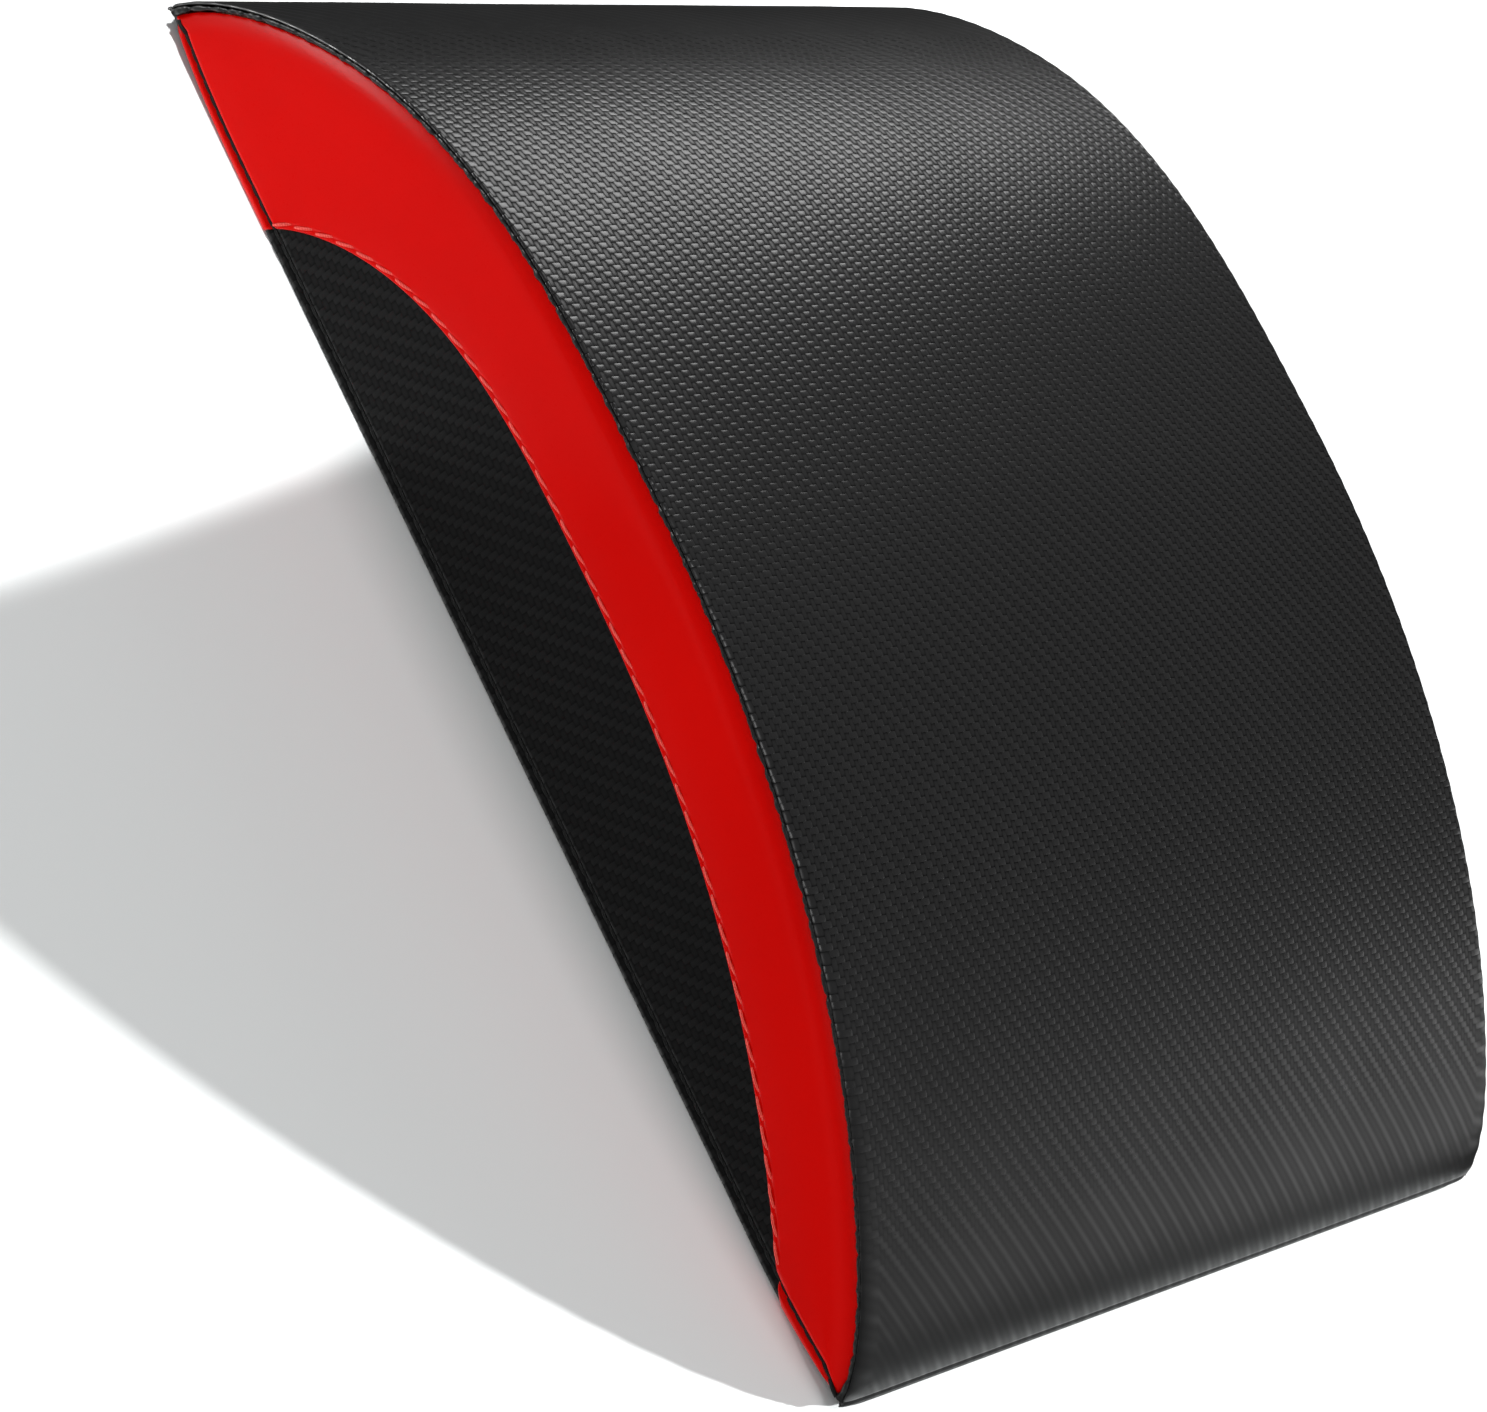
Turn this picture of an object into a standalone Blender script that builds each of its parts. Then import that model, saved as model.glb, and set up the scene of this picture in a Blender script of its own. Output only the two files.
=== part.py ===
# Ab mat: a domed foam block in a sewn vinyl cover that zips open underneath.
# Metres, +Z up. The mat lies on its base at z = 0, +X runs to the thin end, the origin is the base's centre.
import math

import bmesh
import bpy
from mathutils import Vector

# The mat, over its cover
mat_length = 0.380
mat_width = 0.304
mat_height = 0.0707
crown_setback = 0.0119  # how far the highest line lies from the middle, toward the thick end

# How the dome falls from its highest line to each end: height share = (1 - reach ** power) ** ease
thick_end_power = 3.24
thick_end_ease = 0.759
thin_end_power = 1.94
thin_end_ease = 0.677
end_spread_share = 1.2  # an inner layer of the dome is this much shorter at the ends than it is lower

# The soft tips of the base curl up a little
tip_lift = 0.0030
tip_lift_reach = 0.042

# Running gap between neighbours, and the run that cuts go past a face
gap = 0.0003
overrun = 0.010

# Top cover
cover_thickness = 0.0010
cover_edge_drop = 0.0015  # how far the rolled edge comes down at the seam
cover_roll_width = 0.0055

# Side sheets: red band and black panel
stitch_stand = 0.0009  # how far a topstitch stands out of the side sheets
side_tuck = 0.0012  # how far the sheets draw in at the seam
side_back = 0.0031  # back face of the sheets, from the mat's side
panel_recess = 0.0005  # the black panel lies this much behind the folded edge of the band
seam_shoulder = 0.0045  # height over which the sheets roll in to the seam
hem_height = 0.0030  # middle of the hem groove above the base
hem_groove_width = 0.0018
hem_groove_floor_width = 0.0008
hem_groove_depth = 0.0011
hem_shoulder = 0.0022
hem_tuck = 0.0013
hem_belly_share = 0.3  # of the hem's height, where its lower edge has rounded out
rounding_share = 0.25  # of a tuck, where a rounded edge still stands back
seam_turn_share = 0.33  # of the seam's shoulder, where the roll steepens
column_full_height = 0.0120  # shorter columns, at the tips, squeeze their rows

# Red band's inner edge, on the side of the mat
band_edge_peak = 0.0415
band_edge_setback = 0.0148
band_edge_from_thick_end = 0.0622
band_edge_from_thin_end = 0.0282
band_thick_power = 2.99
band_thick_ease = 0.784
band_thin_power = 2.33
band_thin_ease = 1.007

# Seam piping and threads
piping_radius = 0.00055
thread_radius = 0.00026
topstitch_inset = 0.0014  # from the band's folded edge to its stitch line
topstitch_margin = 0.0040  # where it stops above the hem groove

# Foam
foam_edge_drop = 0.0022
foam_roll_width = 0.0060

# Base fabric
base_thickness = 0.0012
end_stitch_inset = 0.0024

# Zipper, across the base
zip_from_thick_end = 0.072
tape_width = 0.0110
tape_thickness = 0.0004
chain_gap = 0.0016  # between the two rows of teeth, where the slider's neck runs
teeth_width = 0.0023
teeth_height = 0.0017
slot_width = 0.0104
border_width = 0.0090  # flat part of the sunken border that carries a tape
border_slope = 0.0060
border_height = 0.0056  # underside of the sunken border
zip_stitch_inset = 0.0035  # from the slot to the stitch line
channel_clearance = 0.0010
slider_length = 0.0100
slider_width = 0.0092
plate_thickness = 0.0010
neck_width = 0.0009
neck_length = 0.0045
flange_width = 0.0009
flange_height = 0.0016
bail_width = 0.0022
bail_bar = 0.0008
bail_foot = 0.0012
bail_length = 0.0062
bail_opening_height = 0.0016
pull_pin_radius = 0.00045
pull_arm_width = 0.0011
pull_thickness = 0.0010
pull_arm_length = 0.0060
pull_length = 0.0240
pull_width = 0.0054
pull_tip_radius = 0.0018
stop_length = 0.0030
stop_wrap = 0.0004
slider_rest_from_side = 0.0175
chain_top_from_side = 0.0120
chain_foot_from_side = 0.0225

# How finely round shapes are cut
dome_steps = 22  # from the crown to each end
roll_steps = 4
across_steps = 4
edge_steps = 14
curl_steps = 4
tip_steps = 2
tube_sides = 6
column_limit_share = 0.9985  # the side sheets stop this near the tips
core_limit_share = 0.98  # and the foam stops here, short of the folded seams

half_length = mat_length / 2
half_width = mat_width / 2
crown_x = -crown_setback
zip_x = zip_from_thick_end - half_length
reaches = [math.sin(math.pi / 2 * step / dome_steps) for step in range(-dome_steps, dome_steps + 1)]


def clear_scene():
    for obj in list(bpy.data.objects):
        bpy.data.objects.remove(obj, do_unlink=True)


def material(name, colour, roughness, metallic=0.0):
    mat = bpy.data.materials.new(name)
    mat.use_nodes = True
    shader = mat.node_tree.nodes["Principled BSDF"]
    shader.inputs["Base Color"].default_value = (*colour, 1.0)
    shader.inputs["Roughness"].default_value = roughness
    shader.inputs["Metallic"].default_value = metallic
    return mat


def link(name, mesh, mat, smooth_angle=40):
    obj = bpy.data.objects.new(name, mesh)
    bpy.context.scene.collection.objects.link(obj)
    mesh.materials.append(mat)
    mesh.shade_smooth()
    mesh.set_sharp_from_angle(angle=math.radians(smooth_angle))
    return obj


def lift(x):
    """How far the base curls up at x."""
    run = (abs(x) - (half_length - tip_lift_reach)) / tip_lift_reach
    run = min(max(run, 0.0), 1.0)
    return tip_lift * run * run


def dome_point(reach, inset):
    """x and z of the dome's layer at this inset. reach runs from -1, the thick end, to 1, the thin end."""
    if reach < 0:
        run, power, ease = half_length + crown_x, thick_end_power, thick_end_ease
    else:
        run, power, ease = half_length - crown_x, thin_end_power, thin_end_ease
    x = crown_x + reach * (run - inset * end_spread_share)
    z = (mat_height - inset) * max(1 - abs(reach) ** power, 0.0) ** ease
    return x, z + lift(x)


def add_rings(mesh, rings):
    """Faces between closed rings of equal size, and the two ends, on a bmesh."""
    count = len(rings[0])
    rows = [[mesh.verts.new(point) for point in ring] for ring in rings]
    for near, far in zip(rows, rows[1:]):
        for k in range(count):
            mesh.faces.new((near[k], near[(k + 1) % count], far[(k + 1) % count], far[k]))
    mesh.faces.new(list(reversed(rows[0])))
    mesh.faces.new(rows[-1])


def finished(name, bm, mat, smooth_angle=40):
    bmesh.ops.triangulate(bm, faces=[f for f in bm.faces if len(f.verts) > 3])
    bmesh.ops.recalc_face_normals(bm, faces=bm.faces)
    mesh = bpy.data.meshes.new(name)
    bm.to_mesh(mesh)
    bm.free()
    return link(name, mesh, mat, smooth_angle)


def solid_from_rings(name, rings, mat, smooth_angle=40):
    bm = bmesh.new()
    add_rings(bm, rings)
    return finished(name, bm, mat, smooth_angle)


def tube(name, points, radius, mat, across=(0, 1, 0)):
    """A round bar along points. across is a direction that the bar never runs along."""
    rings = []
    for k, point in enumerate(points):
        before = Vector(points[max(k - 1, 0)])
        after = Vector(points[min(k + 1, len(points) - 1)])
        along = (after - before).normalized()
        side = (Vector(across) - along * along.dot(Vector(across))).normalized()
        up = along.cross(side)
        turns = [2 * math.pi * n / tube_sides for n in range(tube_sides)]
        rings.append([Vector(point) + radius * (math.cos(a) * side + math.sin(a) * up) for a in turns])
    return solid_from_rings(name, rings, mat, 60)


def bar(bm, low, high):
    """A box from its low corner to its high one, added to a bmesh."""
    centre = [(a + b) / 2 for a, b in zip(low, high)]
    size = [b - a for a, b in zip(low, high)]
    made = bmesh.ops.create_cube(bm, size=1.0)["verts"]
    bmesh.ops.scale(bm, vec=size, verts=made)
    bmesh.ops.translate(bm, vec=centre, verts=made)


def boolean(target, cutter, operation):
    cut = target.modifiers.new(operation.title(), "BOOLEAN")
    cut.operation = operation
    cut.solver = "EXACT"
    cut.object = cutter
    cutter.hide_render = True
    cutter.display_type = "WIRE"


def prism(name, outline, y_low, y_high, mat):
    """An outline of (x, z) points, pulled straight along y."""
    rings = [[(x, y, z) for x, z in outline] for y in (y_low, y_high)]
    return solid_from_rings(name, rings, mat)


def roll(edge_from_side, edge_drop, roll_width, top_inset, side):
    """(y, inset) points of a rounded edge on one side, from the seam up to the top."""
    points = []
    for step in range(roll_steps + 1):
        turn = math.pi / 2 * step / roll_steps
        y = half_width - edge_from_side - roll_width * (1 - math.cos(turn))
        points.append((side * y, top_inset + edge_drop * (1 - math.sin(turn))))
    return points


def arch(edge_from_side, edge_drop, roll_width, top_inset):
    """(y, inset) points right over the mat, from its -Y seam to its +Y one."""
    left = roll(edge_from_side, edge_drop, roll_width, top_inset, -1)
    right = roll(edge_from_side, edge_drop, roll_width, top_inset, 1)[::-1]
    low, high = left[-1][0], right[0][0]
    flat = [(low + (high - low) * k / across_steps, top_inset) for k in range(1, across_steps)]
    return left + flat + right


def make_top_cover(mat):
    seam_from_side = stitch_stand + gap
    outer = arch(seam_from_side, cover_edge_drop, cover_roll_width, 0.0)
    inner_drop = cover_edge_drop - cover_thickness
    inner = arch(seam_from_side + cover_thickness, inner_drop, cover_roll_width, cover_thickness)
    section = outer + inner[::-1]
    rings = []
    for reach in reaches:
        rings.append([])
        for y, inset in section:
            x, z = dome_point(reach, inset)
            rings[-1].append((x, y, z))
    return solid_from_rings("top_cover", rings, mat)


def make_foam_core(mat):
    """The block, with a channel under it that leaves room for the zipper."""
    top = arch(side_back + gap, foam_edge_drop, foam_roll_width, cover_thickness + gap)
    rings = []
    for reach in [r for r in reaches if abs(r) < core_limit_share]:
        ring = []
        for y, inset in top:
            x, z = dome_point(reach, inset)
            ring.append((x, y, z))
        foot = ring[0][0]
        floor = base_thickness + gap + lift(foot)
        ring += [(foot, ring[-1][1], floor), (foot, ring[0][1], floor)]
        rings.append(ring)
    core = solid_from_rings("foam_core", rings, mat)
    half = slot_width / 2 + border_width + border_slope + channel_clearance
    roof_half = slot_width / 2 + border_width + channel_clearance
    floor = base_thickness + gap
    roof = slider_top() + channel_clearance
    outline = [
        (zip_x - half - overrun, floor - overrun),
        (zip_x + half + overrun, floor - overrun),
        (zip_x + half, floor + gap),
        (zip_x + roof_half, border_height + base_thickness + channel_clearance),
        (zip_x + roof_half - channel_clearance, roof),
        (zip_x - roof_half + channel_clearance, roof),
        (zip_x - roof_half, border_height + base_thickness + channel_clearance),
        (zip_x - half, floor + gap),
    ]
    channel = prism("foam_channel_cutter", outline, -half_width - overrun, half_width + overrun, mat)
    boolean(core, channel, "DIFFERENCE")
    return core


def squeeze(height):
    """Rows of a column shorter than a full one are squeezed by this much."""
    return min(1.0, height / column_full_height)


def side_rows(height, recess):
    """(z, distance in from the side) up a column of the side sheets, over the hem and up to the seam."""
    face = stitch_stand + recess
    k = squeeze(height)
    rows = [
        (0.0, face + hem_tuck),
        (hem_height * hem_belly_share * k, face + hem_tuck * rounding_share),
        ((hem_height - hem_groove_width / 2) * k, face),
        ((hem_height - hem_groove_floor_width / 2) * k, face + hem_groove_depth),
        ((hem_height + hem_groove_floor_width / 2) * k, face + hem_groove_depth),
        ((hem_height + hem_groove_width / 2) * k, face + panel_recess / 2),
        ((hem_height + hem_shoulder) * k, face),
        (height - seam_shoulder * k, face),
        (height - seam_shoulder * seam_turn_share * k, face + side_tuck * rounding_share),
        (height, face + side_tuck),
    ]
    return rows


def side_slab(name, side, recess, mat):
    """The whole side sheet on one side, from tip to tip."""
    seam_inset = cover_edge_drop + 2 * piping_radius + 2 * gap
    rings = []
    for reach in reaches:
        reach = max(-column_limit_share, min(column_limit_share, reach))
        x, top = dome_point(reach, seam_inset)
        rows = side_rows(top - lift(x), recess)
        ring = [(x, side * (half_width - depth), z + lift(x)) for z, depth in rows]
        back = side * (half_width - side_back)
        ring += [(x, back, ring[-1][2]), (x, back, ring[0][2])]
        rings.append(ring)
    return solid_from_rings(name, rings, mat)


def band_edge(inset):
    """(x, z) points of the band's inner edge from end to end, drawn in by an inset."""
    low = band_edge_from_thick_end + inset - half_length
    high = half_length - band_edge_from_thin_end - inset
    peak = band_edge_peak - inset
    middle = -band_edge_setback
    points = []
    for step in range(-edge_steps, edge_steps + 1):
        reach = math.sin(math.pi / 2 * step / edge_steps)
        if reach < 0:
            x = middle + reach * (middle - low)
            z = peak * max(1 - abs(reach) ** band_thick_power, 0.0) ** band_thick_ease
        else:
            x = middle + reach * (high - middle)
            z = peak * max(1 - reach ** band_thin_power, 0.0) ** band_thin_ease
        points.append((x, z))
    return points


def panel_outline(inset):
    """The black panel's outline, closed below the base."""
    edge = band_edge(inset)
    return edge + [(edge[-1][0], -overrun), (edge[0][0], -overrun)]


def sides(side):
    """Low and high y of a cutter that goes right through the sheets of one side."""
    ends = sorted((side * (half_width - side_back - overrun), side * (half_width + overrun)))
    return ends


def make_side_sheets(label, side, red, black):
    band = side_slab(f"{label}_red_band", side, 0.0, red)
    hole = prism(f"{label}_band_cutter", panel_outline(0.0), *sides(side), red)
    boolean(band, hole, "DIFFERENCE")
    panel = side_slab(f"{label}_side_panel", side, panel_recess, black)
    outline = prism(f"{label}_panel_cutter", panel_outline(gap), *sides(side), black)
    boolean(panel, outline, "INTERSECT")


def make_side_threads(label, side, red_thread, black_thread, piping_black):
    piping_inset = cover_edge_drop + gap + piping_radius
    piping_y = side * (half_width - stitch_stand - gap - cover_thickness / 2)
    path = []
    for reach in reaches:
        x, z = dome_point(max(-column_limit_share, min(column_limit_share, reach)), piping_inset)
        path.append((x, piping_y, z))
    tube(f"{label}_seam_piping", path, piping_radius, piping_black)

    seam_inset = cover_edge_drop + 2 * piping_radius + 2 * gap
    hem_y = side * (half_width - stitch_stand - hem_groove_depth + gap + thread_radius)
    path = []
    for reach in reaches:
        x, top = dome_point(max(-column_limit_share, min(column_limit_share, reach)), seam_inset)
        height = top - lift(x)
        if height > hem_height + hem_shoulder:
            path.append((x, hem_y, hem_height * squeeze(height) + lift(x)))
    tube(f"{label}_hem_stitch", path, thread_radius, black_thread)

    stitch_y = side * (half_width - stitch_stand + gap + thread_radius)
    path = []
    for x, z in band_edge(-topstitch_inset):
        if z > hem_height + topstitch_margin:
            path.append((x, stitch_y, z))
    tube(f"{label}_band_topstitch", path, thread_radius, red_thread)


def cover_end(side_of_x):
    """x where the base fabric ends, just inside the cover."""
    return dome_point(side_of_x, cover_thickness + gap)[0] - side_of_x * gap


def base_section(side_of_zip):
    """(x, z) outline of a base panel, from the mat's end to the zipper's sunken border."""
    end = cover_end(side_of_zip)
    slot = zip_x + side_of_zip * slot_width / 2
    border = slot + side_of_zip * border_width
    foot = border + side_of_zip * border_slope
    curl = side_of_zip * (half_length - tip_lift_reach)
    under = []
    for step in range(curl_steps + 1):
        x = end + (curl - end) * step / curl_steps
        under.append((x, lift(x)))
    under += [(foot, 0.0), (border, border_height), (slot, border_height)]
    over = [(x, z + base_thickness) for x, z in reversed(under)]
    return under + over


def make_base(mat):
    across = half_width - side_back - gap
    for name, side_of_zip in (("base_panel_thin_end", 1), ("base_panel_thick_end", -1)):
        prism(name, base_section(side_of_zip), -across, across, mat)


def slider_top():
    return tape_top() + gap + plate_thickness


def tape_bottom():
    return border_height + base_thickness + gap


def tape_top():
    return tape_bottom() + tape_thickness


def teeth_top():
    return tape_bottom() - gap


def plate_top():
    """Top of the slider's lower plate."""
    return teeth_top() - teeth_height - gap


def pin_height():
    return plate_top() - plate_thickness - bail_opening_height / 2


def slider_y():
    return half_width - slider_rest_from_side


def make_zipper(tape_mat, teeth_mat, metal):
    across = half_width - side_back - gap
    chain_top = half_width - chain_top_from_side
    chain_foot = chain_foot_from_side - half_width
    for label, s in (("thin_end", 1), ("thick_end", -1)):
        low, high = sorted((zip_x + s * chain_gap, zip_x + s * (chain_gap + tape_width)))
        bm = bmesh.new()
        bar(bm, (low, -across, tape_bottom()), (high, across, tape_top()))
        finished(f"zip_tape_{label}", bm, tape_mat)
        low, high = sorted((zip_x + s * chain_gap / 2, zip_x + s * (chain_gap / 2 + teeth_width)))
        bm = bmesh.new()
        bar(bm, (low, chain_foot, teeth_top() - teeth_height), (high, chain_top, teeth_top()))
        finished(f"zip_teeth_{label}", bm, teeth_mat)

    reach = chain_gap / 2 + teeth_width + gap + stop_wrap
    low_z = teeth_top() - teeth_height - gap - stop_wrap
    head = chain_top + gap
    for label, s in (("thin_end", 1), ("thick_end", -1)):
        low, high = sorted((zip_x + s * (chain_gap / 2 + gap), zip_x + s * reach))
        bm = bmesh.new()
        bar(bm, (low, head, low_z), (high, head + stop_length, teeth_top()))
        finished(f"zip_top_stop_{label}", bm, metal)
    foot = chain_foot - gap
    bm = bmesh.new()
    bar(bm, (zip_x - reach, foot - stop_length, low_z), (zip_x + reach, foot, teeth_top()))
    finished("zip_bottom_stop", bm, metal)


def make_slider(metal):
    """Two plates joined by a neck, flanges that hold the teeth in, and a bail below for the pull."""
    bm = bmesh.new()
    half = slider_width / 2
    run = slider_length / 2
    low_plate = plate_top() - plate_thickness
    high_plate = tape_top() + gap
    y = slider_y()
    bar(bm, (zip_x - half, y - run, low_plate), (zip_x + half, y + run, plate_top()))
    finished("zip_slider", bm, metal)
    slider = bpy.data.objects["zip_slider"]
    bail_low = low_plate - bail_opening_height - bail_bar
    pieces = [
        ((zip_x - half, y - run, high_plate), (zip_x + half, y + run, high_plate + plate_thickness)),
        (
            (zip_x - neck_width / 2, y + run - neck_length, plate_top() - plate_thickness / 2),
            (zip_x + neck_width / 2, y + run - gap, high_plate + plate_thickness / 2),
        ),
        (
            (zip_x - bail_width / 2, y - bail_length / 2, bail_low),
            (zip_x + bail_width / 2, y + bail_length / 2, bail_low + bail_bar),
        ),
    ]
    for s in (1, -1):
        low, high = sorted((zip_x + s * half, zip_x + s * (half - flange_width)))
        flange_top = plate_top() + flange_height
        pieces.append(((low, y - run, plate_top() - plate_thickness / 2), (high, y + run, flange_top)))
        low, high = sorted((y + s * bail_length / 2, y + s * (bail_length / 2 - bail_foot)))
        pieces.append(
            (
                (zip_x - bail_width / 2, low, bail_low + bail_bar / 2),
                (zip_x + bail_width / 2, high, low_plate + plate_thickness / 2),
            )
        )
    for n, (low, high) in enumerate(pieces):
        bm = bmesh.new()
        bar(bm, low, high)
        piece = finished(f"slider_piece_{n}", bm, metal)
        boolean(slider, piece, "UNION")
    return slider


def make_pull(metal):
    """The pull tab: a pin through the bail, an arm on each side of it and a flat tab."""
    pivot = Vector((zip_x, slider_y(), pin_height()))
    arm_in = bail_width / 2 + gap
    arm_out = arm_in + pull_arm_width
    thick = pull_thickness / 2
    arm_end = -pull_arm_length
    outline = [(arm_in, pull_pin_radius), (arm_out, pull_pin_radius), (arm_out, arm_end)]
    tip = -pull_length
    half = pull_width / 2
    outline += [(half, arm_end - pull_arm_width), (half, tip + pull_tip_radius)]
    for step in range(1, tip_steps + 1):
        a = math.pi / 2 * step / tip_steps
        outline.append((half - pull_tip_radius * (1 - math.cos(a)), tip + pull_tip_radius * (1 - math.sin(a))))
    mirrored = [(-x, y) for x, y in reversed(outline)]
    inner = [(-arm_in, arm_end), (arm_in, arm_end)]
    loop = outline + mirrored + inner
    rings = [[(x, y, z) for x, y in loop] for z in (-thick, thick)]
    pull = solid_from_rings("zip_pull", rings, metal)
    pull.location = pivot
    pin = tube("pull_pin", [(-arm_in - gap, 0, 0), (arm_in + gap, 0, 0)], pull_pin_radius, metal)
    pin.location = pivot
    boolean(pull, pin, "UNION")
    return pull


def make_base_threads(thread):
    under = -gap - thread_radius
    across = half_width - side_back - gap
    for label, s in (("thin_end", 1), ("thick_end", -1)):
        x = zip_x + s * (slot_width / 2 + zip_stitch_inset)
        line = [(x, -across, border_height + under), (x, across, border_height + under)]
        tube(f"zip_stitch_{label}", line, thread_radius, thread, across=(1, 0, 0))
        x = cover_end(s) - s * end_stitch_inset
        z = lift(x) + base_thickness + gap + thread_radius
        line = [(x, -across + foam_edge_drop, z), (x, across - foam_edge_drop, z)]
        tube(f"base_stitch_{label}", line, thread_radius, thread, across=(1, 0, 0))


def main():
    clear_scene()
    foam = material("foam", (0.62, 0.60, 0.52), 0.9)
    cover_black = material("woven_vinyl_black", (0.030, 0.030, 0.032), 0.5)
    band_red = material("vinyl_red", (0.62, 0.010, 0.004), 0.3)
    base_black = material("base_fabric", (0.02, 0.02, 0.021), 0.8)
    thread_black = material("thread_black", (0.012, 0.012, 0.012), 0.7)
    thread_red = material("thread_red", (0.55, 0.012, 0.008), 0.6)
    tape_black = material("zip_tape", (0.018, 0.018, 0.018), 0.85)
    teeth_black = material("zip_teeth", (0.02, 0.02, 0.02), 0.4)
    metal = material("zip_metal", (0.35, 0.35, 0.36), 0.35, 1.0)
    make_foam_core(foam)
    make_top_cover(cover_black)
    for label, side in (("left", -1), ("right", 1)):
        make_side_sheets(label, side, band_red, cover_black)
        make_side_threads(label, side, thread_red, thread_black, cover_black)
    make_base(base_black)
    make_zipper(tape_black, teeth_black, metal)
    make_slider(metal)
    make_pull(metal)
    make_base_threads(thread_black)


main()
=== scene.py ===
# Ab mat, dressed: vinyl cover, red side bands, welts, stitching, zipped base, and the plain studio round it
import math

import bmesh
import bpy
import numpy as np
from mathutils import Matrix, Vector, noise


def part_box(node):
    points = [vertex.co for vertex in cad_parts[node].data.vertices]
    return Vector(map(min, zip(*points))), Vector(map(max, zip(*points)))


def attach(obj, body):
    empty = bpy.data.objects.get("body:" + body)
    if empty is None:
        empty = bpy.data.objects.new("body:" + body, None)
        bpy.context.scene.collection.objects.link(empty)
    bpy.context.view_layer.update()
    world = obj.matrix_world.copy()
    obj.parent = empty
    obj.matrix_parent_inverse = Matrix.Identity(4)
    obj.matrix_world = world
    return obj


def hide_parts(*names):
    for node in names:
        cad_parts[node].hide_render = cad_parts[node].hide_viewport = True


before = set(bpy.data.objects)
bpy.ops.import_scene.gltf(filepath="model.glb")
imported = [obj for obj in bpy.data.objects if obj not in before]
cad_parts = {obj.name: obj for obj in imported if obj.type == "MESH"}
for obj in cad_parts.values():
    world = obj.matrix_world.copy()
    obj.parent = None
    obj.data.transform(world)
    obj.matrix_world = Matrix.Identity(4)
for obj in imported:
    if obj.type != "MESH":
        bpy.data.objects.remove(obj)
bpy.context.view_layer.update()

coverLow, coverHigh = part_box("top_cover")
bandLow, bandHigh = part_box("left_red_band")
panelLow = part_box("left_side_panel")[0]

# How the foam's top falls from its highest line to each end: height share = (1 - reach ** power) ** ease
dome = {
    "Length": coverHigh.x - coverLow.x,
    "Height": coverHigh.z,
    "Crown Setback": 0.0119,  # the highest line, from the middle toward the thick end
    "Thick Power": 3.24,
    "Thick Ease": 0.759,
    "Thin Power": 1.94,
    "Thin Ease": 0.677,
    "End Spread": 1.2,  # an inner layer is this much shorter than it is lower
    "Tip Lift": 0.0030,
    "Tip Lift Reach": 0.042,
}


# Small helpers for meshes

def newObject(name, data):
    obj = bpy.data.objects.new(name, data)
    bpy.context.scene.collection.objects.link(obj)
    return obj


def gridObject(name, points, uv=None, outward=None):
    # points is rows x columns x 3, uv is rows x columns x 2 in metres along the cloth
    rows, columns = points.shape[:2]
    index = np.arange(rows * columns).reshape(rows, columns)
    quads = np.stack([index[:-1, :-1], index[:-1, 1:], index[1:, 1:], index[1:, :-1]], axis=-1).reshape(-1, 4)
    flat = points.reshape(-1, 3)
    if outward is not None:
        a, b, c = flat[quads[:, 0]], flat[quads[:, 1]], flat[quads[:, 2]]
        if np.cross(b - a, c - a).sum(axis=0) @ np.array(outward) < 0:
            quads = quads[:, ::-1]
    mesh = bpy.data.meshes.new(name)
    mesh.from_pydata(flat.tolist(), [], quads.tolist())
    if uv is not None:
        layer = mesh.uv_layers.new(name="cloth")
        corners = np.zeros(len(mesh.loops), int)
        mesh.loops.foreach_get("vertex_index", corners)
        layer.data.foreach_set("uv", uv.reshape(-1, 2)[corners].astype(np.float32).ravel())
    return newObject(name, mesh)


def pathObject(name, points):
    mesh = bpy.data.meshes.new(name)
    mesh.from_pydata([tuple(p) for p in points], [(k, k + 1) for k in range(len(points) - 1)], [])
    return newObject(name, mesh)


def settle(obj):  # the modifiers' result becomes the plain mesh
    shown = bpy.context.evaluated_depsgraph_get()
    mesh = bpy.data.meshes.new_from_object(obj.evaluated_get(shown))
    obj.modifiers.clear()
    obj.data = mesh

def thicken(obj, thickness):  # the sheet's back, away from the side that shows
    solid = obj.modifiers.new("sheet", "SOLIDIFY")
    solid.thickness = thickness
    solid.offset = -1
    settle(obj)
    for vertex in obj.data.vertices:
        vertex.co.z = max(vertex.co.z, 0.0)
    return obj


def readMesh(obj):  # its points and their normals
    found = []
    for key in ("co", "normal"):
        values = np.zeros(len(obj.data.vertices) * 3)
        obj.data.vertices.foreach_get(key, values)
        found.append(values.reshape(-1, 3))
    return found


def weldedCopy(name, node, flatAngle=None):  # a CAD node's loose triangles, joined to one skin
    obj = newObject(name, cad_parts[node].data.copy())
    editable = bmesh.new()
    editable.from_mesh(obj.data)
    bmesh.ops.remove_doubles(editable, verts=editable.verts, dist=0.00001)
    if flatAngle:
        bmesh.ops.dissolve_limit(editable, angle_limit=flatAngle, verts=editable.verts, edges=editable.edges)
    editable.to_mesh(obj.data)
    editable.free()
    return obj


sharpAngles = {"sheet": 60, "thread": 70, "foam": 80, "metal": 35}  # degrees: a sharper bend shows as an edge


def dressPiece(obj, kind, material, node, body="mat"):
    obj.data.shade_smooth()
    obj.data.set_sharp_from_angle(angle=math.radians(sharpAngles[kind]))
    obj.data.materials.clear()
    obj.data.materials.append(material)
    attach(obj, body)
    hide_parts(node)


def titled(label):  # thin_end becomes ThinEnd
    return label.title().replace("_", "")


def everyPair(a, b):  # the grid of each a with each b
    return np.stack(np.meshgrid(a, b, indexing="ij"), axis=-1)


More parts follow.
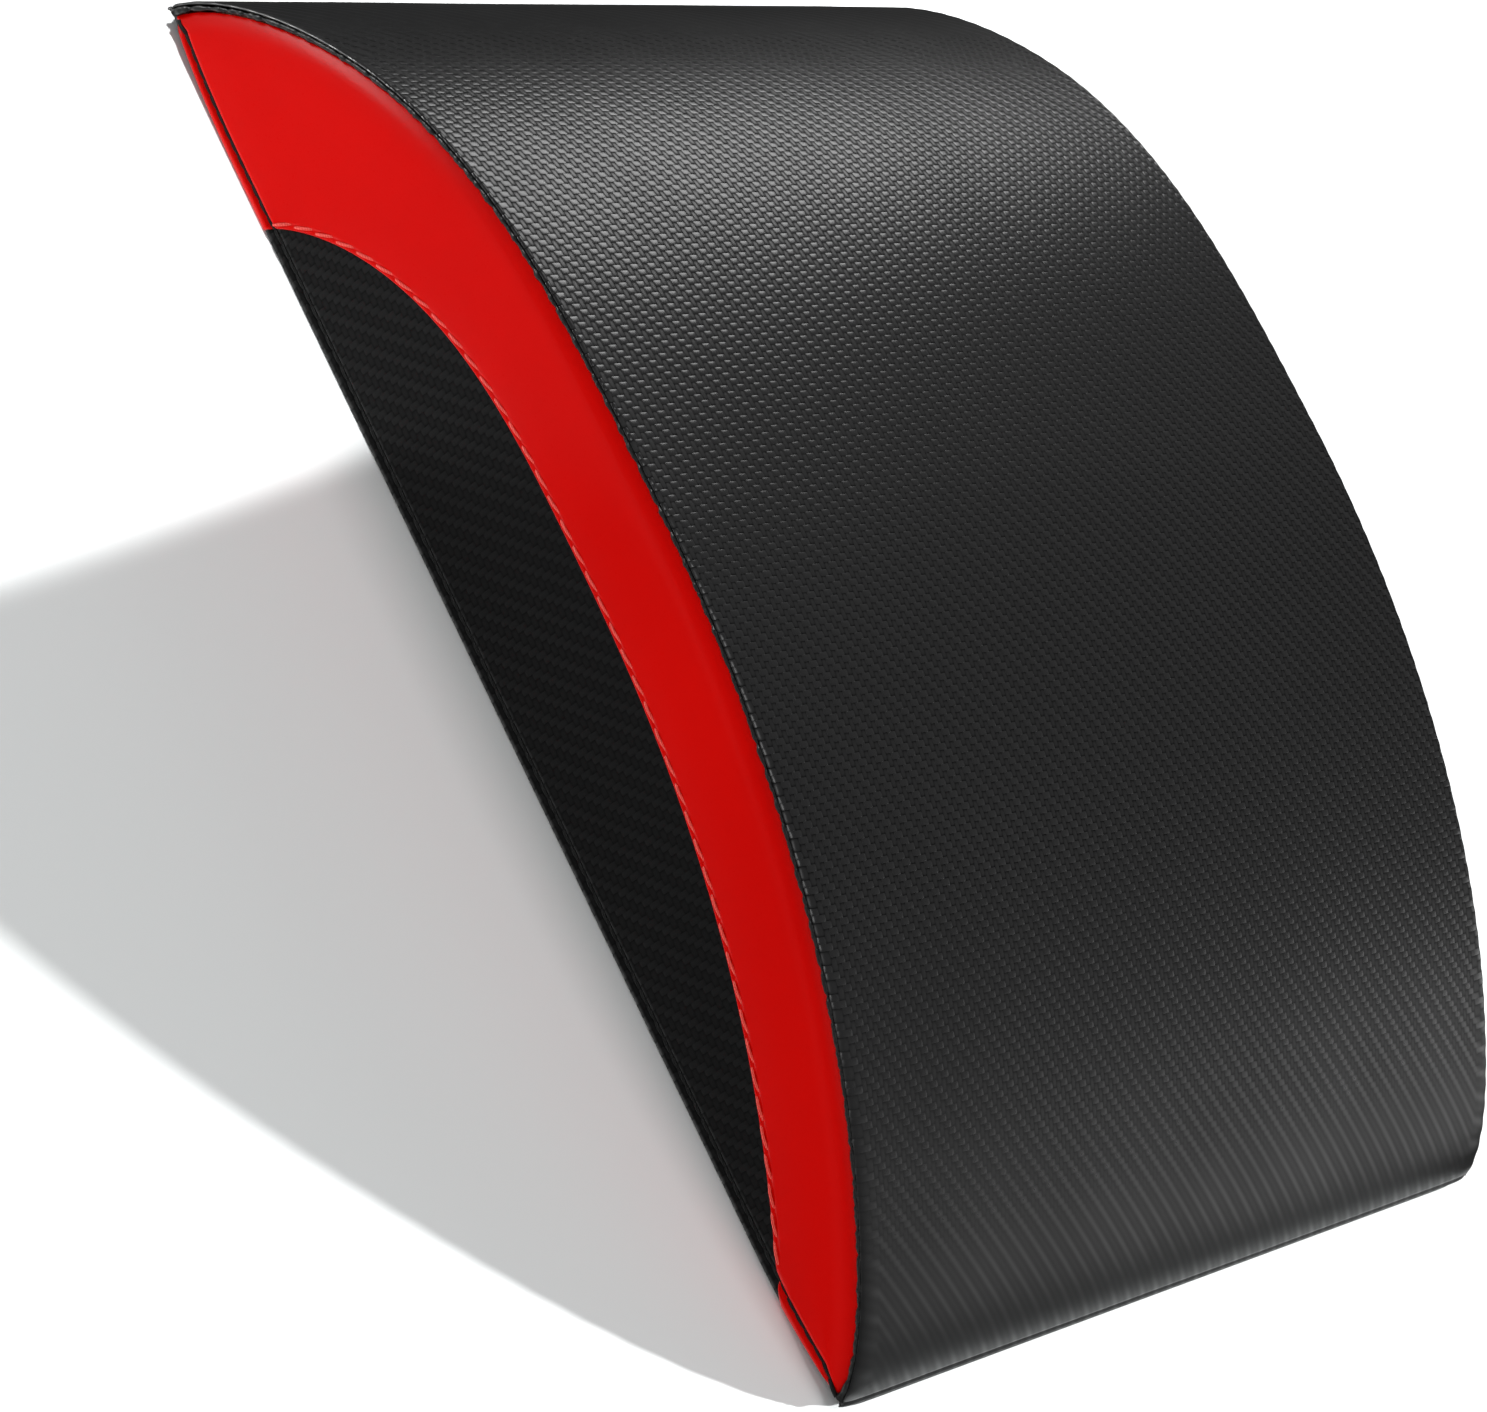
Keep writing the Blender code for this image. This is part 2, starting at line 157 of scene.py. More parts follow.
def lengthsAlong(line):
    steps = np.linalg.norm(np.diff(line, axis=0), axis=1)
    return np.concatenate([[0.0], np.cumsum(steps)])


def pointsAlong(line, stations):  # points of a polyline at these distances from its start
    run = lengthsAlong(line)
    return np.stack([np.interp(stations, run, line[:, k]) for k in range(line.shape[1])], axis=1)


def graded(length, fineStep, fineLength, coarseStep):  # stations with close rows near both ends
    fineLength = min(fineLength, length * 0.4)  # a short run keeps some coarse rows
    fine = np.arange(0, fineLength, fineStep)
    count = max(2, round((length - 2 * fineLength) / coarseStep) + 1)
    middle = np.linspace(fineLength, length - fineLength, count)
    return np.concatenate([fine, middle, length - fine[::-1]])


def nearest(points, line):  # distance of each point from a polyline, both flat in x and z
    a, b = line[:-1], line[1:]
    run = b - a
    share = ((points[:, None] - a) * run).sum(-1) / np.maximum((run * run).sum(-1), 1e-12)
    foot = a + np.clip(share, 0, 1)[..., None] * run
    return np.linalg.norm(points[:, None] - foot, axis=-1).min(axis=1)


def ripple(points, size, seed):  # smooth noise from -1 to 1 at each point
    shift = Vector((seed, seed * 0.37, -seed * 0.71))
    return np.array([noise.noise(Vector(p) / size + shift) for p in points])


# Small helpers for node trees

def feed(socket, value):
    if isinstance(value, bpy.types.NodeSocket):
        socket.id_data.links.new(value, socket)
    elif value is not None:
        socket.default_value = value


def addNode(tree, kind, inputs=None, **settings):
    made = tree.nodes.new(kind)
    for key, value in settings.items():
        setattr(made, key, value)
    for key, value in (inputs or {}).items():
        feed(made.inputs[key], value)
    return made


def outOf(tree, kind, inputs=None, **settings):  # a new node's first output
    return addNode(tree, kind, inputs, **settings).outputs[0]


def calc(operation, *values):  # a Math node in the tree that its values come from
    tree = next(value.id_data for value in values if isinstance(value, bpy.types.NodeSocket))
    return outOf(tree, "ShaderNodeMath", dict(enumerate(values)), operation=operation)


def plus(a, b):
    return calc("ADD", a, b)


def minus(a, b):
    return calc("SUBTRACT", a, b)


def times(a, b):
    return calc("MULTIPLY", a, b)


def over(a, b):
    return calc("DIVIDE", a, b)


def choose(share, a, b):  # a where share is 0, b where it is 1
    span = b - a if isinstance(a, float) and isinstance(b, float) else minus(b, a)
    return plus(a, times(share, span))


def split(vector):
    return addNode(vector.id_data, "ShaderNodeSeparateXYZ", {0: vector}).outputs


def joined(tree, x, y, z):
    return outOf(tree, "ShaderNodeCombineXYZ", {0: x, 1: y, 2: z})


def newTree(name, kind, inputs, outputs):
    tree = bpy.data.node_groups.new(name, kind)
    for way, sockets in (("INPUT", inputs), ("OUTPUT", outputs)):
        for label, socket in sockets.items():
            tree.interface.new_socket(name=label, in_out=way, socket_type="NodeSocket" + socket)
    return tree, tree.nodes.new("NodeGroupInput").outputs, tree.nodes.new("NodeGroupOutput").inputs


def newShapeTree(name, numbers, others=None):  # others are the inputs that aren't plain numbers
    inputs = dict.fromkeys(numbers, "Float") | (others or {})
    inputs = {"Geometry": "Geometry", **inputs, "Material": "Material"}
    return newTree(name, "GeometryNodeTree", inputs, {"Geometry": "Geometry"})


def closeTree(tree, shape, given, result):  # instances become real faces that carry the material
    whole = outOf(tree, "GeometryNodeRealizeInstances", {"Geometry": shape})
    coated = outOf(tree, "GeometryNodeSetMaterial", {"Geometry": whole, "Material": given["Material"]})
    tree.links.new(coated, result[0])
    return tree


def evenLine(tree, path, step):  # the path as a curve with a point at each step
    line = outOf(tree, "GeometryNodeMeshToCurve", {"Mesh": path})
    return outOf(tree, "GeometryNodeResampleCurve", {"Curve": line, "Length": step}, mode="LENGTH")


def tubeAlong(tree, line, radius, sides, **more):
    ring = outOf(tree, "GeometryNodeCurvePrimitiveCircle", {"Resolution": sides, "Radius": radius})
    tube = {"Curve": line, "Profile Curve": ring, "Fill Caps": True, **more}
    return outOf(tree, "GeometryNodeCurveToMesh", tube)


def runTree(obj, tree, values):
    modifier = obj.modifiers.new(tree.name, "NODES")
    modifier.node_group = tree
    for item in tree.interface.items_tree:
        if item.in_out == "INPUT" and item.name in values:
            modifier[item.identifier] = values[item.name]
    settle(obj)


# The dome's rule, once as a tree that bends a flat pattern and once for lines that follow it

def makeDomeTree():
    # The pattern's X is the reach from -1 (thick end) to 1 (thin end), Y lies across, Z is the inset
    tree, given, result = newShapeTree("bendOverDome", dome)
    reach, across, inset = split(outOf(tree, "GeometryNodeInputPosition"))
    thick = calc("LESS_THAN", reach, 0.0)
    half = over(given["Length"], 2.0)
    shift = choose(thick, given["Crown Setback"], times(given["Crown Setback"], -1.0))
    run = plus(half, shift)
    run = minus(run, times(inset, given["End Spread"]))
    power = choose(thick, given["Thin Power"], given["Thick Power"])
    ease = choose(thick, given["Thin Ease"], given["Thick Ease"])
    away = calc("POWER", calc("ABSOLUTE", reach), power)
    left = calc("MAXIMUM", minus(1.0, away), 0.0)
    x = minus(times(reach, run), given["Crown Setback"])
    z = minus(given["Height"], inset)
    z = times(z, calc("POWER", left, ease))
    start = minus(half, given["Tip Lift Reach"])
    curl = over(minus(calc("ABSOLUTE", x), start), given["Tip Lift Reach"])
    curl = calc("MINIMUM", calc("MAXIMUM", curl, 0.0), 1.0)
    lifted = times(given["Tip Lift"], calc("POWER", curl, 2.0))
    z = plus(z, lifted)
    bent = joined(tree, x, across, z)
    shape = outOf(tree, "GeometryNodeSetPosition", {"Geometry": given["Geometry"], "Position": bent})
    return closeTree(tree, shape, given, result)


def liftAt(x):
    start = dome["Length"] / 2 - dome["Tip Lift Reach"]
    return dome["Tip Lift"] * np.clip((np.abs(x) - start) / dome["Tip Lift Reach"], 0, 1) ** 2


def archLine(reach, ends, setback, peak, powers, eases):
    # (x, height over the base) of an arch; ends, powers and eases are the thick end's and the thin end's
    thick = reach < 0
    span = np.where(thick, ends[0] - setback, ends[1] + setback)
    height = peak * np.maximum(1 - np.abs(reach) ** np.where(thick, *powers), 0) ** np.where(thick, *eases)
    return np.stack([reach * span - setback, height], axis=1)


def domeLine(reach, inset):
    ends = [dome["Length"] / 2 - inset * dome["End Spread"]] * 2
    powers, eases = (dome["Thick Power"], dome["Thin Power"]), (dome["Thick Ease"], dome["Thin Ease"])
    line = archLine(reach, ends, dome["Crown Setback"], dome["Height"] - inset, powers, eases)
    line[:, 1] += liftAt(line[:, 0])
    return line


def reachRows(count, limit=1.0):
    return np.clip(np.sin(np.linspace(-math.pi / 2, math.pi / 2, count)), -limit, limit)


# Materials

# 2/2 twill: each thread floats over two and dives under two, one step over at each neighbour
twillShape = {
    "crossPower": 2.4,  # how square a thread is across, and how low its sides are
    "crossFloor": 0.62,
    "runPower": 3.4,  # the same along a float
    "runFloor": 0.35,
    "warpHeight": 0.56,  # of the weft's
    "ribs": 0.034,  # what is left of it where it is stretched
    "peaks": 0.024,
    "ribLevel": 0.50,
}


def makeTwillGroup():
    inputs = {"Vector": "Vector", "Pitch": "Float", "Softness": "Float"}
    tree, given, result = newTree("twillWeave", "ShaderNodeTree", inputs, {"Height": "Float"})
    x, y = (over(value, given["Pitch"]) for value in split(given["Vector"])[:2])
    shareX, shareY = calc("FRACT", x), calc("FRACT", y)
    step = minus(calc("FLOOR", x), calc("FLOOR", y))
    step = calc("FLOORED_MODULO", step, 4.0)
    weft = calc("LESS_THAN", step, 1.5)
    weftRun = over(plus(minus(1.0, step), shareY), 2.0)
    warpRun = over(plus(minus(step, 2.0), shareX), 2.0)
    across = choose(weft, shareY, shareX)
    along = choose(weft, warpRun, weftRun)

    def crowned(value, power):
        off = calc("ABSOLUTE", minus(times(value, 2.0), 1.0))
        return minus(1.0, calc("POWER", off, power))

    threads = choose(crowned(across, twillShape["crossPower"]), twillShape["crossFloor"], 1.0)
    floats = choose(crowned(along, twillShape["runPower"]), twillShape["runFloor"], 1.0)
    body = times(threads, floats)
    height = times(body, choose(weft, twillShape["warpHeight"], 1.0))
    slant = minus(minus(x, y), 0.5)
    ribs = times(calc("COSINE", times(slant, math.pi / 2)), twillShape["ribs"])
    peaks = times(calc("COSINE", times(slant, math.pi)), twillShape["peaks"])
    ribs = plus(plus(ribs, peaks), twillShape["ribLevel"])
    tree.links.new(choose(given["Softness"], height, ribs), result["Height"])
    return tree


def newMaterial(name, look):
    material = bpy.data.materials.new(name)
    material.use_nodes = True
    shader = material.node_tree.nodes["Principled BSDF"]
    sockets = {"Specular IOR Level": "specular", "Sheen Weight": "sheen", "Metallic": "metallic"}
    for label, key in sockets.items():
        shader.inputs[label].default_value = look.get(key, 0.0)
    place = addNode(material.node_tree, "ShaderNodeTexCoord").outputs["Object"]
    return material, shader, place


def mottled(vector, scale, detail=4.0):
    return outOf(vector.id_data, "ShaderNodeTexNoise", {"Vector": vector, "Scale": scale, "Detail": detail})


def cells(vector, scale, **settings):
    return outOf(vector.id_data, "ShaderNodeTexVoronoi", {"Vector": vector, "Scale": scale}, **settings)


def between(share, low, high):  # two colours mixed by a share
    ends = {0: share, 6: (*low, 1.0), 7: (*high, 1.0)}
    return addNode(share.id_data, "ShaderNodeMix", ends, data_type="RGBA").outputs[2]


def fit(value, low, high, start=0.0, stop=1.0):  # from start to stop the result goes from low to high
    ends = {"From Min": start, "From Max": stop, "To Min": low, "To Max": high}
    return outOf(value.id_data, "ShaderNodeMapRange", {"Value": value, **ends})


def bumped(height, depth, strength=1.0, below=None):
    relief = {"Height": height, "Distance": depth, "Strength": strength, "Normal": below}
    return outOf(height.id_data, "ShaderNodeBump", relief)


def clothPlace(material):
    return outOf(material.node_tree, "ShaderNodeUVMap", uv_map="cloth")


def finishLook(shader, look, tint, wear, height, below=None):
    # tint runs the colour from low to high, wear runs the roughness, and height is pressed in as relief
    feed(shader.inputs["Base Color"], between(tint, look["low"], look["high"]))
    feed(shader.inputs["Roughness"], fit(wear, *look["roughness"]))
    feed(shader.inputs["Normal"], bumped(height, *look["relief"], below))


# In every look a noise is its scale and detail, and relief is its depth and strength
coverLook = {
    "threadPitch": 0.00168,
    "emboss": 0.00019,
    # Round each end the stretched threads flatten into soft ribs: all ribs within, none past (metres of arc)
    "softThickEnd": (0.045, 0.080),
    "softThinEnd": (0.028, 0.120),
    "arcRows": 400,
    # low is the colour down in the weave's pits, high on the threads' tops: the darker pits are painted shade
    "low": (0.0010, 0.0010, 0.0011),
    "high": (0.0058, 0.0058, 0.0061),
    "pitLevel": 0.24,
    "topLevel": 0.62,
    "roughnessRange": (0.66, 0.27),  # in the pits, on the threads
    "specularRange": (0.04, 0.46),
    "specular": 0.3,  # the socket's own value, which the linked range covers; for an export that drops the range
    "grain": (2600.0, 4.0),
    "grainRelief": (0.00001, 0.4),
    "patches": (22.0, 2.0),
    "patchShare": (0.85, 1.15),  # of the roughness
}


# The side panels carry the same vinyl, duller and pressed less deep
panelLook = {
    **coverLook,
    "emboss": 0.00010,
    # darker in the pits here too: painted shade
    "low": (0.0020, 0.0020, 0.0020),
    "high": (0.0052, 0.0052, 0.0053),
    "roughnessRange": (0.60, 0.42),
    "specularRange": (0.02, 0.06),
}


def makeWovenVinyl(name, look, twill, arc=0.0):
    material, shader, place = newMaterial(name, look)
    cloth = clothPlace(material)
    inputs = {"Vector": cloth, "Pitch": look["threadPitch"]}
    weave = addNode(material.node_tree, "ShaderNodeGroup", inputs, node_tree=twill)
    if arc:
        run = split(cloth)[0]
        near, far = look["softThinEnd"]
        thick = fit(run, 1.0, 0.0, *look["softThickEnd"])
        thin = fit(run, 0.0, 1.0, arc - far, arc - near)
        feed(weave.inputs["Softness"], calc("MAXIMUM", thick, thin))
    height = weave.outputs["Height"]
    top = fit(height, 0.0, 1.0, look["pitLevel"], look["topLevel"])
    uneven = fit(mottled(place, *look["patches"]), *look["patchShare"])
    # The colour follows the weave's height and is darker down in the pits: painted shade
    feed(shader.inputs["Base Color"], between(height, look["low"], look["high"]))
    feed(shader.inputs["Roughness"], times(fit(top, *look["roughnessRange"]), uneven))
    feed(shader.inputs["Specular IOR Level"], fit(top, *look["specularRange"]))
    pressed = bumped(height, look["emboss"])
    feed(shader.inputs["Normal"], bumped(mottled(place, *look["grain"]), *look["grainRelief"], pressed))
    return material


redLook = {
    "specular": 0.035,
    "patches": (18.0, 3.0),
    "grain": (1500.0, 3.0),
    "pebbleScale": 1100.0,
    "pebbleRelief": (0.000025, 0.6),
    "low": (0.46, 0.0006, 0.0001),
    "high": (0.56, 0.0014, 0.0002),
    "roughness": (0.24, 0.34),
    "relief": (0.0004, 0.25),
}


def makeRedVinyl():
    material, shader, place = newMaterial("redVinyl", redLook)
    patches, grain = mottled(place, *redLook["patches"]), mottled(place, *redLook["grain"])
    pebbles = cells(place, redLook["pebbleScale"], feature="SMOOTH_F1")
    finishLook(shader, redLook, patches, grain, patches, bumped(pebbles, *redLook["pebbleRelief"]))
    return material


weltLook = {
    "specular": 0.16,
    "folds": (620.0, 2.0),
    "grain": (1800.0, 3.0),
    "low": (0.001, 0.001, 0.001),
    "high": (0.006, 0.006, 0.006),
    "roughness": (0.22, 0.50),
    "relief": (0.00035, 0.8),
}


def makeWeltVinyl():
    material, shader, place = newMaterial("weltVinyl", weltLook)
    folds = mottled(place, *weltLook["folds"])
    # The colour follows the folds' relief and is darker in their hollows: painted shade
    finishLook(shader, weltLook, folds, mottled(place, *weltLook["grain"]), folds)
    return material


blackThreadLook = {
    "specular": 0.08,
    "plyScale": 900.0,
    "plyWander": 1.5,
    "low": (0.0015, 0.0015, 0.0015),
    "high": (0.0090, 0.0090, 0.0090),
    "roughness": (0.65, 0.45),
    "relief": (0.00008, 0.9),
}
redThreadLook = {
    **blackThreadLook,
    "specular": 0.25,
    "low": (0.56, 0.012, 0.006),
    # the pale pink high colour on the ply ridges is a painted highlight
    "high": (0.84, 0.095, 0.070),
}


def makeThread(name, look):
    material, shader, place = newMaterial(name, look)
    twist = {"Vector": place, "Scale": look["plyScale"], "Distortion": look["plyWander"]}
    ply = addNode(place.id_data, "ShaderNodeTexWave", twist, bands_direction="DIAGONAL").outputs["Fac"]
    # The colour follows the twist's relief: darker in the grooves between the plies, painted shade, and
    # lighter on their ridges, painted highlight
    finishLook(shader, look, ply, ply, ply)
    return material


baseLook = {
    "specular": 0.2,
    "sheen": 0.25,
    "threadPitch": 0.00110,
    "threadRelief": (0.000275, 0.9),
    "fuzz": (900.0, 4.0),
    "fuzzShade": (0.6, 1.3),
    "low": (0.003, 0.003, 0.0034),
    "high": (0.050, 0.050, 0.053),
    "roughness": (0.72, 0.95),
    "relief": (0.0001, 0.4),
}
tapeLook = {
    **baseLook,
    "threadPitch": 0.00050,
    "threadRelief": (0.000125, 0.9),
    "low": (0.004, 0.004, 0.004),
    "high": (0.024, 0.024, 0.025),
}


def makeBaseCloth(name, look):
    # Plain weave: threads over and under in turn, from two crossed waves. The colour is darker where the
    # threads dip, painted shade, and varies at random with the fuzz
    material, shader, place = newMaterial(name, look)
    turns = (times(value, math.pi / look["threadPitch"]) for value in split(clothPlace(material))[:2])
    waveX, waveY = (calc("SINE", turn) for turn in turns)
    weave = plus(times(times(waveX, waveY), 0.5), 0.5)
    fuzz = mottled(place, *look["fuzz"])
    shade = times(weave, fit(fuzz, *look["fuzzShade"]))
    finishLook(shader, look, shade, fuzz, fuzz, bumped(weave, *look["threadRelief"]))
    return material


foamLook = {
    "specular": 0.15,
    "poreScale": 620.0,
    "stains": (14.0, 4.0),
    "low": (0.50, 0.46, 0.36),
    "high": (0.66, 0.63, 0.54),
    "roughness": (0.96, 0.82),
    "relief": (0.0005, 0.8),
}


def makeOpenFoam():
    material, shader, place = newMaterial("openFoam", foamLook)
    pores = cells(place, foamLook["poreScale"])
    finishLook(shader, foamLook, mottled(place, *foamLook["stains"]), pores, pores)
    return material


metalLook = {
    "specular": 0.5,
    "metallic": 1.0,
    "brushed": (900.0, 120.0, 900.0),  # scratches run along the zipper
    "scratches": (3.0, 6.0),
    "rubs": (260.0, 3.0),
    "low": (0.20, 0.20, 0.21),
    "high": (0.42, 0.42, 0.43),
    "roughness": (0.22, 0.46),
    "relief": (0.00003, 0.5),
}


def makeZipMetal():
    material, shader, place = newMaterial("darkNickel", metalLook)
    brushed = outOf(place.id_data, "ShaderNodeMapping", {"Vector": place, "Scale": metalLook["brushed"]})
    scratches = mottled(brushed, *metalLook["scratches"])
    finishLook(shader, metalLook, mottled(place, *metalLook["rubs"]), scratches, scratches)
    return material


nylonLook = {
    "specular": 0.45,
    "grain": (1400.0, 4.0),
    "low": (0.010, 0.010, 0.010),
    "high": (0.030, 0.030, 0.032),
    "roughness": (0.28, 0.45),
    "relief": (0.00003, 0.4),
}


def makeCoilNylon():
    material, shader, place = newMaterial("coilNylon", nylonLook)
    grain = mottled(place, *nylonLook["grain"])
    finishLook(shader, nylonLook, grain, grain, grain)
    return material


domeTree = makeDomeTree()
twill = makeTwillGroup()
coverArc = lengthsAlong(domeLine(reachRows(coverLook["arcRows"]), 0.0))[-1]
wovenVinyl = makeWovenVinyl("wovenVinyl", coverLook, twill, coverArc)
panelVinyl = makeWovenVinyl("wovenVinylSide", panelLook, twill)
redVinyl = makeRedVinyl()
weltVinyl = makeWeltVinyl()
threads = {
    "black_thread": makeThread("blackThread", blackThreadLook),
    "red_thread": makeThread("redThread", redThreadLook),
}
baseCloth = makeBaseCloth("baseCloth", baseLook)
tapeCloth = makeBaseCloth("tapeCloth", tapeLook)
openFoam = makeOpenFoam()
zipMetal = makeZipMetal()
coilNylon = makeCoilNylon()
print("materials made")


# Top cover: a flat pattern, bent over the dome by its tree, puckered at the seams, turned under at the ends

cover = {
    "rows": 250,
    "rollSteps": 11,
    "acrossStep": 0.0024,
    "edgeDrop": 0.0007,  # how far the rolled edge comes down at the seam
    "rollWidth": 0.0012,  # at the thick end
    "rollGrowth": 0.0060,  # more at the thin end
    "seamCalm": 0.0022,  # no waves this near the seam
    "thickness": 0.0006,
    "crease": 0.0005,
    "creaseHalf": 0.0005,
    "creaseHeight": 0.0012,
    "puckerPitch": 0.0060,
    "puckerDepth": 0.00018,
    "puckerReach": 0.0030,
    "waveHeight": 0.00030,
    "waveSize": 0.060,
    "waveSeed": 3.0,
    "turnRadius": 0.0008,  # the fold where the end is turned under
    "turnNarrowing": 0.0045,  # so that the fold stays behind the side sheets
    "turnBulge": 0.4,
    "turnWidth": 0.0080,
    "turnFloor": 0.0004,  # the turned strip stays this high
    "turnSteps": 6,
}


def makeTopCover():
    reach = reachRows(cover["rows"])
    turns = np.linspace(0, math.pi / 2, cover["rollSteps"] + 1)
    width = (cover["rollWidth"] + cover["rollGrowth"] * ((reach + 1) / 2) ** 3)[:, None]
    rollY = coverHigh.y - width * (1 - np.cos(turns))
    rollInset = cover["edgeDrop"] * (1 - np.sin(turns))
    flatCount = round(2 * coverHigh.y / cover["acrossStep"])
    flatY = rollY[:, -1:] * np.linspace(-1, 1, flatCount + 1)[1:-1]
    inset = np.concatenate([rollInset, np.zeros(flatCount - 1), rollInset[::-1]])
    pattern = np.zeros((len(reach), len(inset), 3))
    pattern[..., 0] = reach[:, None]
    pattern[..., 1] = np.concatenate([-rollY, flatY, rollY[:, ::-1]], axis=1)
    pattern[..., 2] = inset
    sheet = gridObject("coverPattern", pattern)
    runTree(sheet, domeTree, {**dome, "Material": wovenVinyl})
    places, normals = (found.reshape(pattern.shape) for found in readMesh(sheet))
    middle = len(inset) // 2
    normals *= np.sign(normals[len(reach) // 2, middle, 2])
    bpy.data.objects.remove(sheet)

    along = lengthsAlong(places[:, middle])
    crossing = lengthsAlong(places[len(reach) // 2])
    fromSeam = np.minimum(crossing, crossing[-1] - crossing)
    fromEnd = np.minimum(along, along[-1] - along)
    bunch = 0.5 + 0.5 * np.cos(2 * math.pi * along / cover["puckerPitch"])
    dent = cover["puckerDepth"] * bunch[:, None] * np.exp(-fromSeam / cover["puckerReach"])
    swell = ripple(places.reshape(-1, 3), cover["waveSize"], cover["waveSeed"]).reshape(dent.shape)
    calm = np.clip(fromSeam / cover["seamCalm"], 0, 1) * np.clip(fromEnd / cover["seamCalm"], 0, 1)[:, None]
    height = places[..., 2] - liftAt(places[..., 0])
    fold = np.exp(-((height - cover["creaseHeight"]) / cover["creaseHalf"]) ** 2)
    offset = cover["waveHeight"] * (swell - 1) / 2 * calm - dent - cover["crease"] * fold
    places += normals * offset[..., None]

    ends = {}
    for endSign, rim in ((-1, places[0]), (1, places[-1])):
        added, runs = [], []
        for turn in np.linspace(0, math.pi, cover["turnSteps"] + 1)[1:]:
            point = rim.copy()
            point[:, 1] *= 1 - cover["turnNarrowing"] * turn / math.pi / coverHigh.y
            point[:, 0] -= endSign * cover["turnRadius"] * math.sin(turn) * cover["turnBulge"]
            point[:, 2] -= cover["turnRadius"] * (1 - math.cos(turn))
            added.append(point)
            runs.append(cover["turnRadius"] * turn)
        last = added[-1].copy()
        last[:, 0] -= endSign * cover["turnWidth"]
        last[:, 2] = np.maximum(last[:, 2] - (liftAt(rim[:, 0]) - liftAt(last[:, 0])), cover["turnFloor"])
        added.append(last)
        runs.append(runs[-1] + cover["turnWidth"])
        ends[endSign] = (np.array(added), np.array(runs))
    places = np.concatenate([ends[-1][0][::-1], places, ends[1][0]])
    along = np.concatenate([along[0] - ends[-1][1][::-1], along, along[-1] + ends[1][1]])
    topCover = gridObject("topCover", places, everyPair(along, crossing), outward=(0, 0, 1))
    thicken(topCover, cover["thickness"])
    dressPiece(topCover, "sheet", wovenVinyl, "top_cover")


# Side sheets: a red band along the arc and a black panel inside it, both sewn into a hem at the base

side = {
    "thickness": 0.0006,
    "seamInset": coverHigh.z - bandHigh.z - cover["edgeDrop"],
    "seamShoulder": 0.0068,  # where the sheet starts to roll in to the seam
    "seamTuck": 0.0017,
    "rollPower": 2.2,  # how late it rolls in, at the seam and at the hem
    "hemLine": 0.0030,  # the thread groove above the base
    "hemGroove": 0.0011,
    "hemGrooveHalf": 0.00070,
    "hemTuck": 0.0006,
    "hemBelly": 0.0021,
    "fullHeight": 0.0120,  # shorter columns, at the tips, squeeze their hem
    "leastSqueeze": 0.15,
    "waveHeight": 0.00012,
    "waveSize": 0.045,
    "waveY": 0.15,  # where the noise is cut, so that each side gets its own
    "seamRows": 401,
    "seamLimit": 0.9985,  # the seam line stops short of the steep last bit
}

band = {
    "face": -bandLow.y,
    "peak": 0.0415,
    "setback": 0.0148,
    "ends": (0.1278, 0.1618),  # here and below the thick end's, then the thin end's
    "powers": (2.99, 2.33),
    "eases": (0.784, 1.008),
    "foldRadius": 0.0006,
    "stitchInset": 0.0014,  # the topstitch, from the folded edge
    "stitchGroove": 0.00022,
    "stitchGrooveHalf": 0.0004,
    "stitchFrom": 0.006,  # height where its groove starts, and how soon it is full
    "stitchFade": 0.003,
    "edgeStep": 0.00022,
    "edgeColumns": 16,
    "seamColumns": 16,
    "seamStep": 0.00035,
    "middleColumns": 18,
    "rowFine": 0.00028,
    "rowFineLength": 0.0095,
    "rowCoarse": 0.0018,
    "puff": 0.0009,
    "puffReach": 0.012,  # full this far from the edges and the base
    "puffRise": 0.014,
    "waveSeed": 5.0,
    "edgeRows": 181,
}

panel = {
    "face": -panelLow.y,
    "underlap": 0.0028,  # how far it runs under the band's fold
    "leastHeight": 0.0002,
    "footShares": (0.55, 0.45),  # columns stand between even spacing and the arc's own
    "columns": 190,
    "rowFine": 0.00028,
    "rowFineLength": 0.0070,
    "rowFineShare": 0.6,  # at most, of a column
    "middleRows": 20,
    "puff": 0.00035,
    "puffReach": 0.012,
    "waveSeed": 9.0,
}

seamRows = reachRows(side["seamRows"], side["seamLimit"])


def bandEdgeLine(outset=0.0):  # the band's folded edge from end to end, moved out by outset
    reach, ends = reachRows(band["edgeRows"]), [end + outset for end in band["ends"]]
    return archLine(reach, ends, band["setback"], band["peak"] + outset, band["powers"], band["eases"])


def seamLine():
    line = domeLine(seamRows, side["seamInset"])
    line[:, 1] -= liftAt(line[:, 0])
    return line


def hemSqueeze(x):
    line = seamLine()
    return np.clip(np.interp(x, line[:, 0], line[:, 1]) / side["fullHeight"], side["leastSqueeze"], 1)


def hemDepth(x, height):
    h = height / hemSqueeze(x)
    tuck = side["hemTuck"] * np.clip(1 - h / side["hemBelly"], 0, 1) ** side["rollPower"]
    groove = side["hemGroove"] * np.exp(-((h - side["hemLine"]) / side["hemGrooveHalf"]) ** 2)
    return tuck + groove


def seamDepth(distance):
    return side["seamTuck"] * np.clip(1 - distance / side["seamShoulder"], 0, 1) ** side["rollPower"]


def sideSheet(name, sign, flat, depth, belly, own):
    # flat holds each point's x and height over the base; depth goes in from the face, and the belly puffs out
    spots = flat.reshape(-1, 2)
    wave = ripple(np.insert(spots, 1, sign * side["waveY"], axis=1), side["waveSize"], own["waveSeed"] + sign)
    depth = depth - own["puff"] * belly + side["waveHeight"] * (wave + 1) * belly
    points = np.stack([spots[:, 0], sign * (own["face"] - depth), spots[:, 1] + liftAt(spots[:, 0])], axis=1)
    sheet = gridObject(name, points.reshape(*flat.shape[:2], 3), flat, outward=(0, sign, 0))
    return thicken(sheet, side["thickness"])


